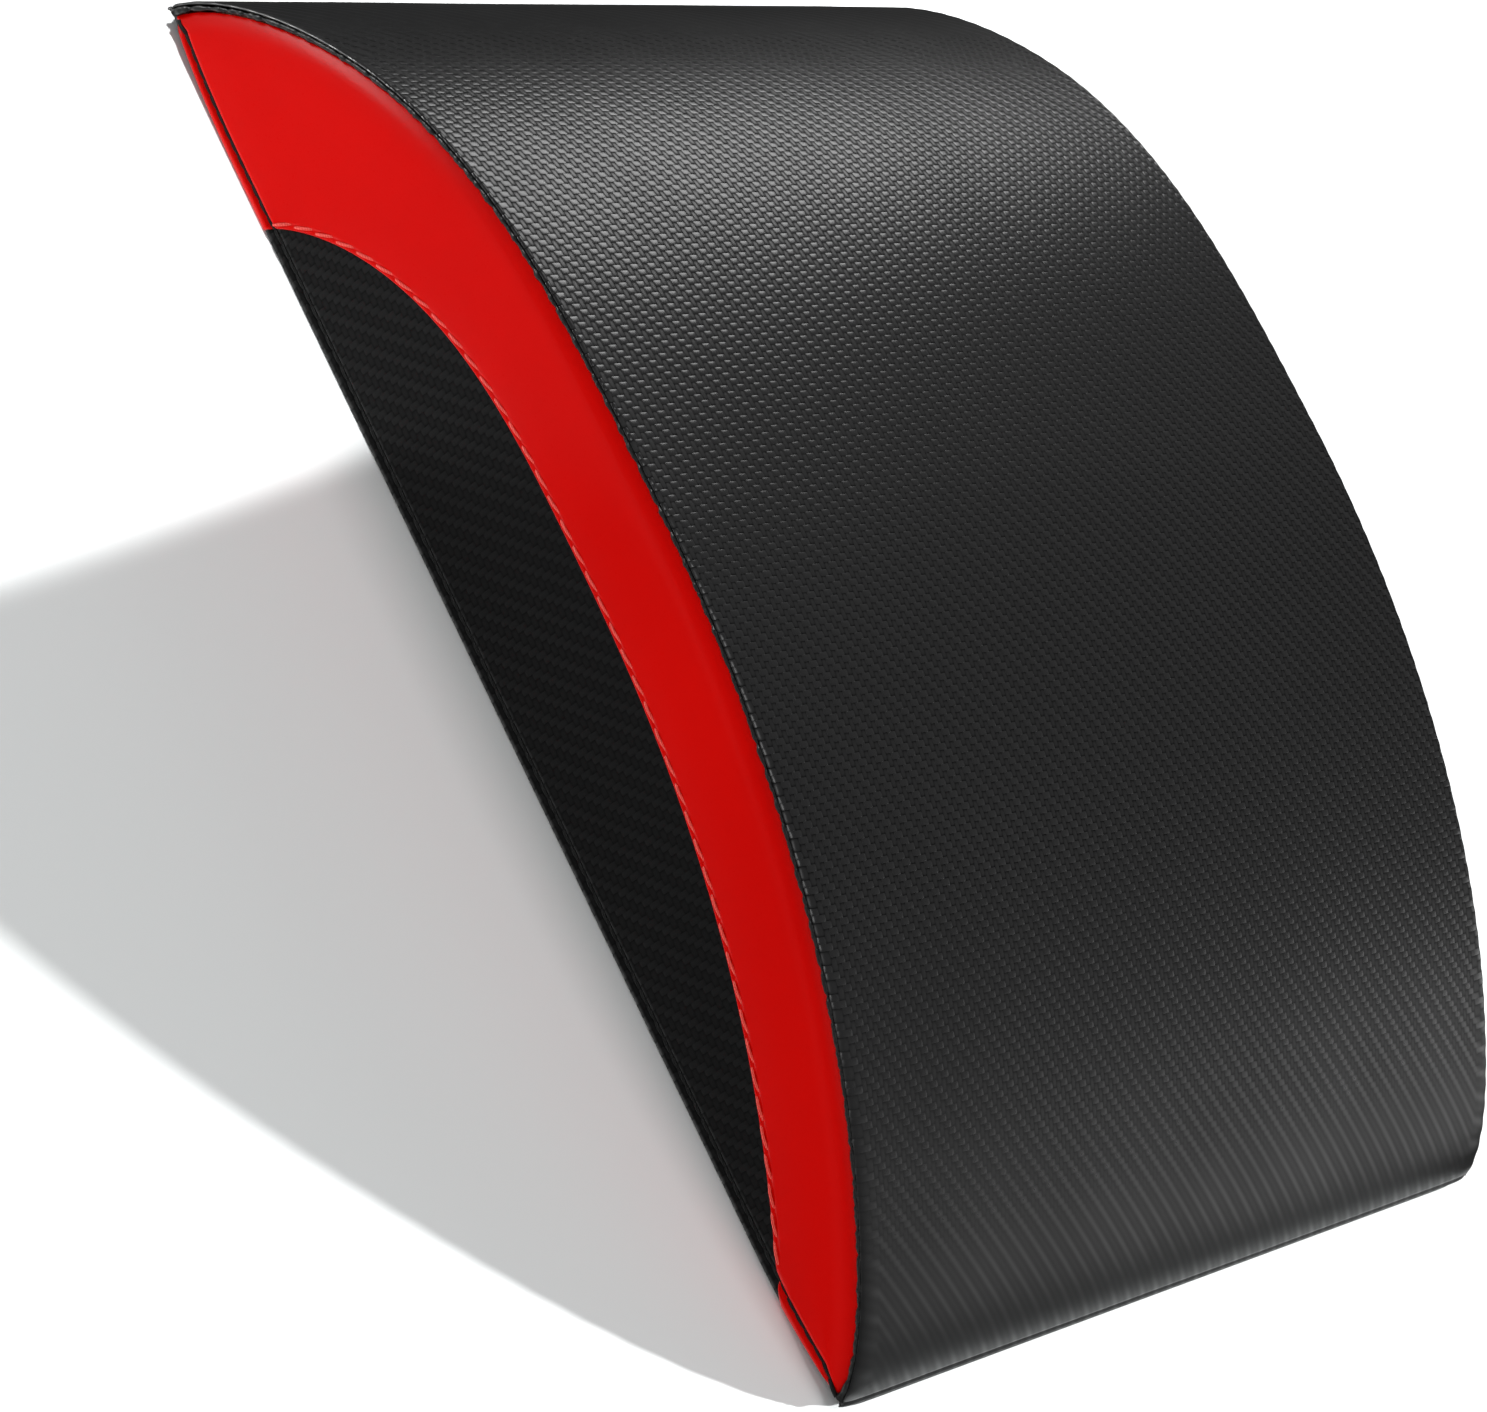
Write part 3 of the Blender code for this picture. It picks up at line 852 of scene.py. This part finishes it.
def makeRedBand(label, sign):
    outer, inner = seamLine(), bandEdgeLine()
    outerRun, innerRun = lengthsAlong(outer)[-1], lengthsAlong(inner)[-1]
    stations = graded(outerRun, band["rowFine"], band["rowFineLength"], band["rowCoarse"])
    share = stations / outerRun
    outerRow, innerRow = pointsAlong(outer, stations), pointsAlong(inner, share * innerRun)
    width = np.linalg.norm(outerRow - innerRow, axis=1)
    edge = np.arange(band["edgeColumns"]) * band["edgeStep"]
    seam = np.arange(band["seamColumns"])[::-1] * band["seamStep"]
    middle = np.linspace(0, 1, band["middleColumns"] + 2)[1:-1]
    start, stop = edge[-1], width - seam[0]
    runs = np.concatenate([
        np.broadcast_to(edge, (len(width), len(edge))),
        start + middle * (stop - start)[:, None],
        width[:, None] - seam,
    ], axis=1)
    flat = innerRow[:, None] + (outerRow - innerRow)[:, None] * (runs / width[:, None])[..., None]
    spots = flat.reshape(-1, 2)
    fromEdge, fromSeam = nearest(spots, inner), nearest(spots, outer)
    depth = hemDepth(spots[:, 0], spots[:, 1]) + seamDepth(fromSeam)
    radius = band["foldRadius"]
    lean = np.clip(1 - fromEdge / radius, 0, 1)
    depth += radius * (1 - np.sqrt(1 - lean ** 2))
    stitched = np.clip((spots[:, 1] - band["stitchFrom"]) / band["stitchFade"], 0, 1)
    groove = np.exp(-((fromEdge - band["stitchInset"]) / band["stitchGrooveHalf"]) ** 2)
    depth += stitched * band["stitchGroove"] * groove
    belly = np.minimum(np.minimum(fromEdge, fromSeam) / band["puffReach"], spots[:, 1] / band["puffRise"])
    belly = np.sin(np.clip(belly, 0, 1) * math.pi / 2)
    redBand = sideSheet(f"{label}RedBand", sign, flat, depth, belly, band)
    dressPiece(redBand, "sheet", redVinyl, f"{label}_red_band")


def makeSidePanel(label, sign):
    arc = bandEdgeLine(panel["underlap"])
    arc = arc[arc[:, 1] > panel["leastHeight"]]
    top = pointsAlong(arc, np.linspace(0, lengthsAlong(arc)[-1], panel["columns"]))
    low, high = -band["ends"][0] - panel["underlap"], band["ends"][1] + panel["underlap"]
    foot = np.linspace(low, high, len(top))
    foot = foot * panel["footShares"][0] + top[:, 0] * panel["footShares"][1]
    foot[0], foot[-1] = top[0, 0], top[-1, 0]
    fine = np.arange(0, panel["rowFineLength"], panel["rowFine"]) / panel["rowFineLength"]
    fineTop = np.minimum(top[:, 1] * panel["rowFineShare"], panel["rowFineLength"])
    coarse = np.linspace(0, 1, panel["middleRows"] + 1)
    heights = np.concatenate([fine[:, None] * fineTop, fineTop + coarse[:, None] * (top[:, 1] - fineTop)])
    x = foot + (top[:, 0] - foot) * (heights / top[:, 1])
    flat = np.stack([x, heights], axis=-1)
    spots = flat.reshape(-1, 2)
    bandEdge = bandEdgeLine()
    inside = spots[:, 1] < np.interp(spots[:, 0], *bandEdge.T)
    fromEdge = np.clip(nearest(spots, bandEdge) / panel["puffReach"], 0, 1)
    belly = inside * fromEdge * np.clip(spots[:, 1] / panel["puffReach"], 0, 1)
    sidePanel = sideSheet(f"{label}SidePanel", sign, flat, hemDepth(spots[:, 0], spots[:, 1]), belly, panel)
    dressPiece(sidePanel, "sheet", panelVinyl, f"{label}_side_panel")


# Welts and rows of stitches, each a tree run along a path

welt = {
    "Radius": 0.00072,
    "Pucker Pitch": 0.0060,
    "Pucker Power": 6.0,  # how short each pinch is
    "Pucker Share": 0.38,
    "Lump Scale": 620.0,
    "Lump Share": 1.5,
    "End Swell": 1.1,
    "End Length": 0.0022,
    "Step": 0.0005,
}


def makeWeltTree():
    tree, given, result = newShapeTree("seamWelt", welt)
    line = evenLine(tree, given["Geometry"], given["Step"])
    along = addNode(tree, "GeometryNodeSplineParameter").outputs
    turn = over(times(along["Length"], math.pi), given["Pucker Pitch"])
    pinch = calc("POWER", calc("ABSOLUTE", calc("COSINE", turn)), given["Pucker Power"])
    total = over(along["Length"], calc("MAXIMUM", along["Factor"], 0.0001))  # never by nothing
    fromEnd = calc("MINIMUM", along["Length"], minus(total, along["Length"]))
    lumps = mottled(outOf(tree, "GeometryNodeInputPosition"), given["Lump Scale"], 2.0)
    lumps = times(minus(lumps, 0.5), given["Lump Share"])
    fade = over(times(fromEnd, -1.0), given["End Length"])
    swell = calc("EXPONENT", fade)
    size = minus(1.0, times(pinch, given["Pucker Share"]))
    size = plus(size, times(swell, given["End Swell"]))
    size = plus(size, lumps)
    return closeTree(tree, tubeAlong(tree, line, given["Radius"], sides=12, Scale=size), given, result)


def makeStitchTree():
    # Each stitch is a short arched thread whose ends dive into the cloth
    tree, given, result = newShapeTree("stitchRow", hemStitch, {"Seed": "Int", "Outward": "Vector"})
    line = evenLine(tree, given["Geometry"], given["Pitch"])
    half = over(given["Stitch Length"], 2.0)
    down = times(given["Dive"], -1.0)
    start, stop = (joined(tree, end, 0.0, down) for end in (times(half, -1.0), half))
    arch = {"Resolution": 8, "Start": start, "Middle": joined(tree, 0.0, 0.0, given["Rise"]), "End": stop}
    arch = outOf(tree, "GeometryNodeCurveQuadraticBezier", arch)
    thread = tubeAlong(tree, arch, given["Thread Radius"], sides=6)
    tangent = outOf(tree, "GeometryNodeInputTangent")
    turned = outOf(tree, "FunctionNodeAlignRotationToVector", {"Vector": tangent}, axis="X")
    turned = outOf(
        tree, "FunctionNodeAlignRotationToVector", {"Rotation": turned, "Vector": given["Outward"]},
        axis="Z", pivot_axis="X",
    )
    limits = {2: times(given["Jitter"], -1.0), 3: given["Jitter"], "Seed": given["Seed"]}
    wobble = addNode(tree, "FunctionNodeRandomValue", limits).outputs[1]
    tilt = plus(given["Tilt"], wobble)
    twist = outOf(tree, "FunctionNodeAxisAngleToRotation", {"Axis": (0.0, 0.0, 1.0), "Angle": tilt})
    turned = outOf(
        tree, "FunctionNodeRotateRotation", {"Rotation": turned, "Rotate By": twist}, rotation_space="LOCAL"
    )
    rows = {"Points": line, "Instance": thread, "Rotation": turned}
    rows = outOf(tree, "GeometryNodeInstanceOnPoints", rows)
    return closeTree(tree, rows, given, result)


hemStitch = {
    "Pitch": 0.0042, "Stitch Length": 0.0043, "Thread Radius": 0.00058, "Rise": 0.00045, "Dive": 0.00020,
    "Tilt": 0.05, "Jitter": 0.03, "Seed": 11,
}
topStitch = {
    "Pitch": 0.0068, "Stitch Length": 0.0060, "Thread Radius": 0.00042, "Rise": 0.00100, "Dive": 0.00030,
    "Tilt": 0.15, "Jitter": 0.04, "Seed": 12,
}
baseStitch = {
    "Pitch": 0.0036, "Stitch Length": 0.0034, "Thread Radius": 0.00024, "Rise": 0.00040, "Dive": 0.00022,
    "Tilt": 0.04, "Jitter": 0.03, "Seed": 13,
}

trim = {
    "weltRise": 0.0008,  # up against the cover
    "weltTuck": 0.0002,  # in behind the band's roll
    "hemReach": (0.0008, 0.0030),  # past the CAD's row, at the thick end and at the thin end
    "hemPoints": 300,
    "hemThreadLift": 0.6,  # out of its groove, in radii
    "topstitchFoot": 0.0058,  # height of the first topstitch over the base
    "topstitchSink": 0.6,  # of its groove's depth
    "zipStitchInset": 0.0026,  # the last stitch passes the end of its path by half its length
}

weltTree = makeWeltTree()
stitchTree = makeStitchTree()


def stitchPiece(name, path, outward, style, slotName, node):
    obj = pathObject(name, path)
    runTree(obj, stitchTree, {**style, "Outward": outward, "Material": threads[slotName]})
    dressPiece(obj, "thread", threads[slotName], node)


def makeSideTrim(label, sign):
    low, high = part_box(f"{label}_seam_piping")
    line = domeLine(seamRows, coverHigh.z - high.z + (high.y - low.y) / 2 - trim["weltRise"])
    path = [(x, (low.y + high.y) / 2 - sign * trim["weltTuck"], z) for x, z in line]
    seamWelt = pathObject(f"{label}SeamWelt", path)
    runTree(seamWelt, weltTree, {**welt, "Material": weltVinyl})
    dressPiece(seamWelt, "thread", weltVinyl, f"{label}_seam_piping")

    low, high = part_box(f"{label}_hem_stitch")
    xs = np.linspace(low.x - trim["hemReach"][0], high.x + trim["hemReach"][1], trim["hemPoints"])
    onPanel = (xs > -band["ends"][0]) & (xs < band["ends"][1])
    face = np.where(onPanel, panel["face"], band["face"]) - side["hemGroove"]
    y = sign * (face + hemStitch["Thread Radius"] * trim["hemThreadLift"])
    path = np.stack([xs, y, side["hemLine"] * hemSqueeze(xs) + liftAt(xs)], axis=1)
    stitchPiece(f"{label}HemStitch", path, (0, sign, 0), hemStitch, "black_thread", f"{label}_hem_stitch")

    line = bandEdgeLine(band["stitchInset"])
    line = line[line[:, 1] > trim["topstitchFoot"]]
    y = sign * (band["face"] - band["stitchGroove"] * trim["topstitchSink"])
    path = [(x, y, z + liftAt(x)) for x, z in line]
    stitchPiece(f"{label}BandStitch", path, (0, sign, 0), topStitch, "red_thread", f"{label}_band_topstitch")


def makeBaseStitches(label):
    for kind, inset, facing in (("zip", trim["zipStitchInset"], -1), ("base", 0.0, 1)):
        low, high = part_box(f"{kind}_stitch_{label}")
        middle = (low + high) / 2
        path = [(middle.x, low.y + inset, middle.z), (middle.x, high.y - inset, middle.z)]
        name, node = f"{kind}Stitch{titled(label)}", f"{kind}_stitch_{label}"
        stitchPiece(name, path, (0, 0, facing), baseStitch, "black_thread", node)


# Foam block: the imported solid, welded, remeshed to a soft skin and lightly uneven

foam = {"voxel": 0.0035, "smoothing": 3, "waveHeight": 0.0003, "waveSize": 0.02, "waveSeed": 2.0}


def makeFoamBlock():
    block = weldedCopy("foamBlock", "foam_core")
    remesh = block.modifiers.new("skin", "REMESH")
    remesh.mode = "VOXEL"
    remesh.voxel_size = foam["voxel"]
    block.modifiers.new("soften", "SMOOTH").iterations = foam["smoothing"]
    settle(block)
    places, normals = readMesh(block)
    push = (ripple(places, foam["waveSize"], foam["waveSeed"]) - 1) * foam["waveHeight"]
    block.data.vertices.foreach_set("co", (places + normals * push[:, None]).ravel())
    dressPiece(block, "foam", openFoam, "foam_core")


# Base: two cloth panels that meet in a sunken valley, where the zipper lies

base = {
    "thickness": 0.0009,
    "borderWidth": 0.0085,  # the raised strip beside the slot
    "slopeWidth": 0.0070,
    "stitchSink": 0.0003,
    "acrossStep": 0.003,
    "fineStep": 0.0012,
    "fineLength": 0.035,
    "coarseStep": 0.0024,
    "waveHeight": 0.0003,
    "waveSize": 0.03,
    "waveSeed": 21.0,
}


def makeBasePanel(label, sign):
    low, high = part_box(f"base_panel_{label}")
    slotX, endX = (high.x, low.x) if sign < 0 else (low.x, high.x)
    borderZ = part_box(f"zip_stitch_{label}")[1].z + base["stitchSink"]
    stations = graded(abs(slotX - endX), base["fineStep"], base["fineLength"], base["coarseStep"])
    xs = endX - sign * stations
    fromSlot = abs(slotX - endX) - stations
    slope = np.clip((fromSlot - base["borderWidth"]) / base["slopeWidth"], 0, 1)
    zs = borderZ * (1 - slope * slope * (3 - 2 * slope)) + liftAt(xs)
    halfWidth = panel["face"] - side["hemTuck"] - side["thickness"]
    across = np.linspace(-halfWidth, halfWidth, round(2 * halfWidth / base["acrossStep"]))
    points = np.insert(everyPair(xs, across), 2, 0.0, axis=-1)
    wave = ripple(points.reshape(-1, 3), base["waveSize"], base["waveSeed"]).reshape(len(xs), len(across))
    points[..., 2] = zs[:, None] + base["waveHeight"] * (wave + 1) / 2
    cloth = gridObject(f"basePanel{titled(label)}", points, everyPair(stations, across), outward=(0, 0, -1))
    thicken(cloth, base["thickness"])
    dressPiece(cloth, "sheet", baseCloth, f"base_panel_{label}")


# Zipper: tapes, two nylon coils, stops, slider and pull

coil = {"Loop Pitch": 0.00130, "Loop Width": 0.0026, "Loop Height": 0.0015, "Wire Radius": 0.00031}

zipper = {
    "middle": (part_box("zip_teeth_thin_end")[0].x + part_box("zip_teeth_thick_end")[1].x) / 2,
    "mesh": 0.00045,  # how far each coil reaches past the middle, between the other's loops
    "tapeMeet": 0.0001,  # the tapes' edges stay this far from the middle
    "tapeGrid": (16, 160),  # across and along
    "flatAngle": 0.02,  # faces of the metal that are flatter to each other than this are joined
    "stopBevel": 0.00015,
    "sliderBevel": 0.00018,
}


def makeCoilTree():
    tree, given, result = newShapeTree("zipCoil", coil, {"Coil Length": "Float", "Start": "Vector"})
    turns = over(given["Coil Length"], given["Loop Pitch"])
    around = {"Resolution": 12, "Rotations": turns, "Start Radius": 0.5, "End Radius": 0.5}
    spring = outOf(tree, "GeometryNodeCurveSpiral", {**around, "Height": given["Coil Length"]})
    squash = joined(tree, given["Loop Width"], given["Loop Height"], 1.0)
    flat = outOf(tree, "GeometryNodeTransform", {"Geometry": spring, "Scale": squash})
    lay = {"Rotation": (-math.pi / 2, 0.0, 0.0), "Translation": given["Start"]}
    laid = outOf(tree, "GeometryNodeTransform", {"Geometry": flat, **lay})
    return closeTree(tree, tubeAlong(tree, laid, given["Wire Radius"], sides=6), given, result)


def makeZipTape(label, sign):
    low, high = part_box(f"zip_tape_{label}")
    outer, inner = (low if sign < 0 else high).x, zipper["middle"] + sign * zipper["tapeMeet"]
    xs, ys = (np.linspace(*ends) for ends in zip((outer, low.y), (inner, high.y), zipper["tapeGrid"]))
    uv = everyPair(xs, ys)
    tape = gridObject(f"zipTape{titled(label)}", np.insert(uv, 2, low.z, axis=-1), uv, outward=(0, 0, -1))
    thicken(tape, high.z - low.z)
    dressPiece(tape, "sheet", tapeCloth, f"zip_tape_{label}")


def makeZipCoil(label, sign, tree):
    low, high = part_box(f"zip_teeth_{label}")
    wire = coil["Wire Radius"]
    outer, inner = (low if sign < 0 else high).x, zipper["middle"] - sign * zipper["mesh"]
    # The two coils start half a loop apart, so that they mesh
    start = ((outer + inner) / 2, low.y + wire + (sign < 0) * coil["Loop Pitch"] / 2, (low.z + high.z) / 2)
    obj = pathObject(f"zipCoil{titled(label)}", [start, start])
    sizes = {**coil, "Loop Width": abs(outer - inner) - 2 * wire, "Loop Height": high.z - low.z - 2 * wire}
    length = high.y - low.y - 2 * wire - coil["Loop Pitch"]
    runTree(obj, tree, {**sizes, "Coil Length": length, "Start": start, "Material": coilNylon})
    dressPiece(obj, "thread", coilNylon, f"zip_teeth_{label}")


def refinedCopy(name, node, bevelWidth, body="mat"):
    obj = weldedCopy(name, node, zipper["flatAngle"])
    bevel = obj.modifiers.new("worn edges", "BEVEL")
    bevel.width = bevelWidth
    bevel.segments = 3
    bevel.limit_method = "ANGLE"
    settle(obj)
    dressPiece(obj, "metal", zipMetal, node, body)


# Studio: white floor, pale surroundings, soft boxes, and a low sun that only draws the shadow on the floor

studio = {
    "cameraPlace": (0.2814, -1.1038, 0.7357),
    "cameraForward": (-0.20395, 0.80099, -0.56286),
    "cameraRoll": 55.7,  # degrees, which stands the mat on its thin end
    "lens": 125.46,
    "floorSize": 40.0,
    "floorColour": (0.718, 0.740, 0.740),
    "surround": 0.25,
    "shadowSun": {"toward": (1.25, 3.5, 1.0), "strength": 12.0, "softness": 1.5},
    "softBoxes": {
        "keyBox": {"place": (-0.64, 0.71, 0.46), "size": (0.36, 0.45), "power": 2.05},
        "rimBox": {"place": (0.82, 1.65, 0.42), "size": (0.90, 0.48), "power": 2.0},
        "leftBox": {"place": (-1.50, -1.10, 0.11), "size": (0.75, 0.15), "power": 6.0},
        # Seen in reflections alone
        "sheenBox": {"place": (-1.50, -1.10, 0.20), "size": (0.90, 0.40), "power": 40.0},
        "fillBox": {"place": (0.85, -1.85, 1.25), "size": (1.4, 1.4), "power": 16.5},
        "topBox": {"place": (0.3, 0.0, 2.2), "size": (1.2, 1.2), "power": 18.0},
        # Under the floor, which doesn't block it: for the base, which is seen through the floor from below
        "underBox": {"place": (0.0, 0.0, -1.2), "size": (2.0, 2.0), "power": 20.0},
    },
    # Near-black cards, each by its low and high corner, for reflections alone. They lie behind the mat and
    # beyond both its ends, and stand behind it, and keep the bright floor out of the cover's far edge
    "cardColour": (0.045, 0.045, 0.045),
    "cards": [
        ((-0.95, -0.15, 0.0005), (-0.193, 0.55, 0.0005)),
        ((-0.193, 0.17, 0.0005), (0.65, 0.55, 0.0005)),
        ((-0.95, 0.55, 0.0005), (0.05, 0.55, 0.20)),
        ((0.05, 0.55, 0.0005), (0.65, 0.55, 0.06)),
        ((0.22, -0.16, 0.0005), (0.65, 0.17, 0.0005)),
    ],
    # Lights only the floor beside the thick end, where the shadow doesn't reach
    "floorSpot": {
        "place": (-3.008, -0.715, 3.0), "power": 1125.0, "angle": 90.0, "softness": 0.003, "edge": 0.004,
    },
}


def makeCamera():
    data = bpy.data.cameras.new("camera")
    data.lens = studio["lens"]
    data.clip_start, data.clip_end = 0.01, 100.0
    camera = newObject("camera", data)
    forward = Vector(studio["cameraForward"]).normalized()
    right = forward.cross(Vector((0, 0, 1))).normalized()
    right = Matrix.Rotation(math.radians(-studio["cameraRoll"]), 3, forward) @ right
    axes = Matrix((right, right.cross(forward), -forward)).transposed()
    camera.matrix_world = Matrix.Translation(studio["cameraPlace"]) @ axes.to_4x4()
    bpy.context.scene.camera = camera


def stageLook(name, colour, roughness):
    material, shader, _ = newMaterial(name, {})
    shader.inputs["Base Color"].default_value = (*colour, 1.0)
    shader.inputs["Roughness"].default_value = roughness
    return material, shader


def makeFloor():
    half = studio["floorSize"] / 2
    corners = np.insert(everyPair((-half, half), (-half, half)), 2, 0.0, axis=-1)
    floor = gridObject("floor", corners, outward=(0, 0, 1))
    material, shader = stageLook("floorWhite", studio["floorColour"], 1.0)
    tree = material.node_tree
    # From below the floor is clear, so that the base shows
    clear = outOf(tree, "ShaderNodeBsdfTransparent")
    behind = addNode(tree, "ShaderNodeNewGeometry").outputs["Backfacing"]
    mixed = outOf(tree, "ShaderNodeMixShader", {0: behind, 1: shader.outputs[0], 2: clear})
    feed(tree.nodes["Material Output"].inputs["Surface"], mixed)
    floor.data.materials.append(material)
    return floor


def makeCards():
    mesh = bpy.data.meshes.new("blackCards")
    points = []
    for a, b in studio["cards"]:
        points += [(a[0], a[1], a[2]), (b[0], a[1], a[2]), (b[0], b[1], b[2]), (a[0], b[1], b[2])]
    mesh.from_pydata(points, [], [(k, k + 1, k + 2, k + 3) for k in range(0, len(points), 4)])
    obj = newObject("blackCards", mesh)
    obj.data.materials.append(stageLook("cardBlack", studio["cardColour"], 0.5)[0])
    obj.visible_camera = obj.visible_diffuse = obj.visible_shadow = False


def makeWorld():
    world = bpy.data.worlds.new("studio")
    world.use_nodes = True
    bpy.context.scene.world = world
    back = world.node_tree.nodes["Background"].inputs
    back["Color"].default_value = (1.0, 1.0, 1.0, 1.0)
    back["Strength"].default_value = studio["surround"]


def aimed(obj, place, target=(0, 0, 0.03)):
    obj.location = place
    obj.rotation_mode = "QUATERNION"
    obj.rotation_quaternion = (Vector(target) - Vector(place)).to_track_quat("-Z", "Y")


def addLamp(name, kind, power):
    data = bpy.data.lights.new(name, kind)
    data.energy = power
    return newObject(name, data), data


def floorGroup(name, floor):
    group = bpy.data.collections.new(name)
    group.objects.link(floor)
    return group


def makeLights(floor):
    for name, box in studio["softBoxes"].items():
        lamp, data = addLamp(name, "AREA", box["power"])
        data.shape = "RECTANGLE"
        data.size, data.size_y = box["size"]
        lamp.visible_camera = False
        lamp.visible_diffuse = name != "sheenBox"
        aimed(lamp, box["place"])
        if name == "underBox":
            passed = floorGroup("clearForUnderBox", floor)
            passed.collection_objects[0].light_linking.link_state = "EXCLUDE"
            lamp.light_linking.blocker_collection = passed
    receivers = floorGroup("floorOnly", floor)
    sun = studio["shadowSun"]
    lamp, data = addLamp("shadowSun", "SUN", sun["strength"])
    data.angle = math.radians(sun["softness"])
    aimed(lamp, sun["toward"], (0, 0, 0))
    lamp.light_linking.receiver_collection = receivers
    spot = studio["floorSpot"]
    lamp, data = addLamp("floorSpot", "SPOT", spot["power"])
    data.spot_size = math.radians(spot["angle"])
    data.spot_blend = spot["edge"]
    data.shadow_soft_size = spot["softness"]
    lamp.location = spot["place"]
    lamp.visible_camera = False
    lamp.light_linking.receiver_collection = receivers


def main():
    bpy.context.scene.view_settings.view_transform = "Standard"
    makeCamera()
    floor = makeFloor()
    makeCards()
    makeWorld()
    makeLights(floor)
    print("studio made")
    makeTopCover()
    print("top cover made")
    for label, sign in (("left", -1), ("right", 1)):
        makeRedBand(label, sign)
        makeSidePanel(label, sign)
        makeSideTrim(label, sign)
    print("sides made")
    makeFoamBlock()
    coilTree = makeCoilTree()
    for label, sign in (("thin_end", 1), ("thick_end", -1)):
        makeBasePanel(label, sign)
        makeZipTape(label, sign)
        makeZipCoil(label, sign, coilTree)
        refinedCopy(f"zipTopStop{titled(label)}", f"zip_top_stop_{label}", zipper["stopBevel"])
        makeBaseStitches(label)
    refinedCopy("zipBottomStop", "zip_bottom_stop", zipper["stopBevel"])
    refinedCopy("zipSlider", "zip_slider", zipper["sliderBevel"], "slider")
    refinedCopy("zipPull", "zip_pull", zipper["sliderBevel"], "pull")
    print("base and zipper made")


main()
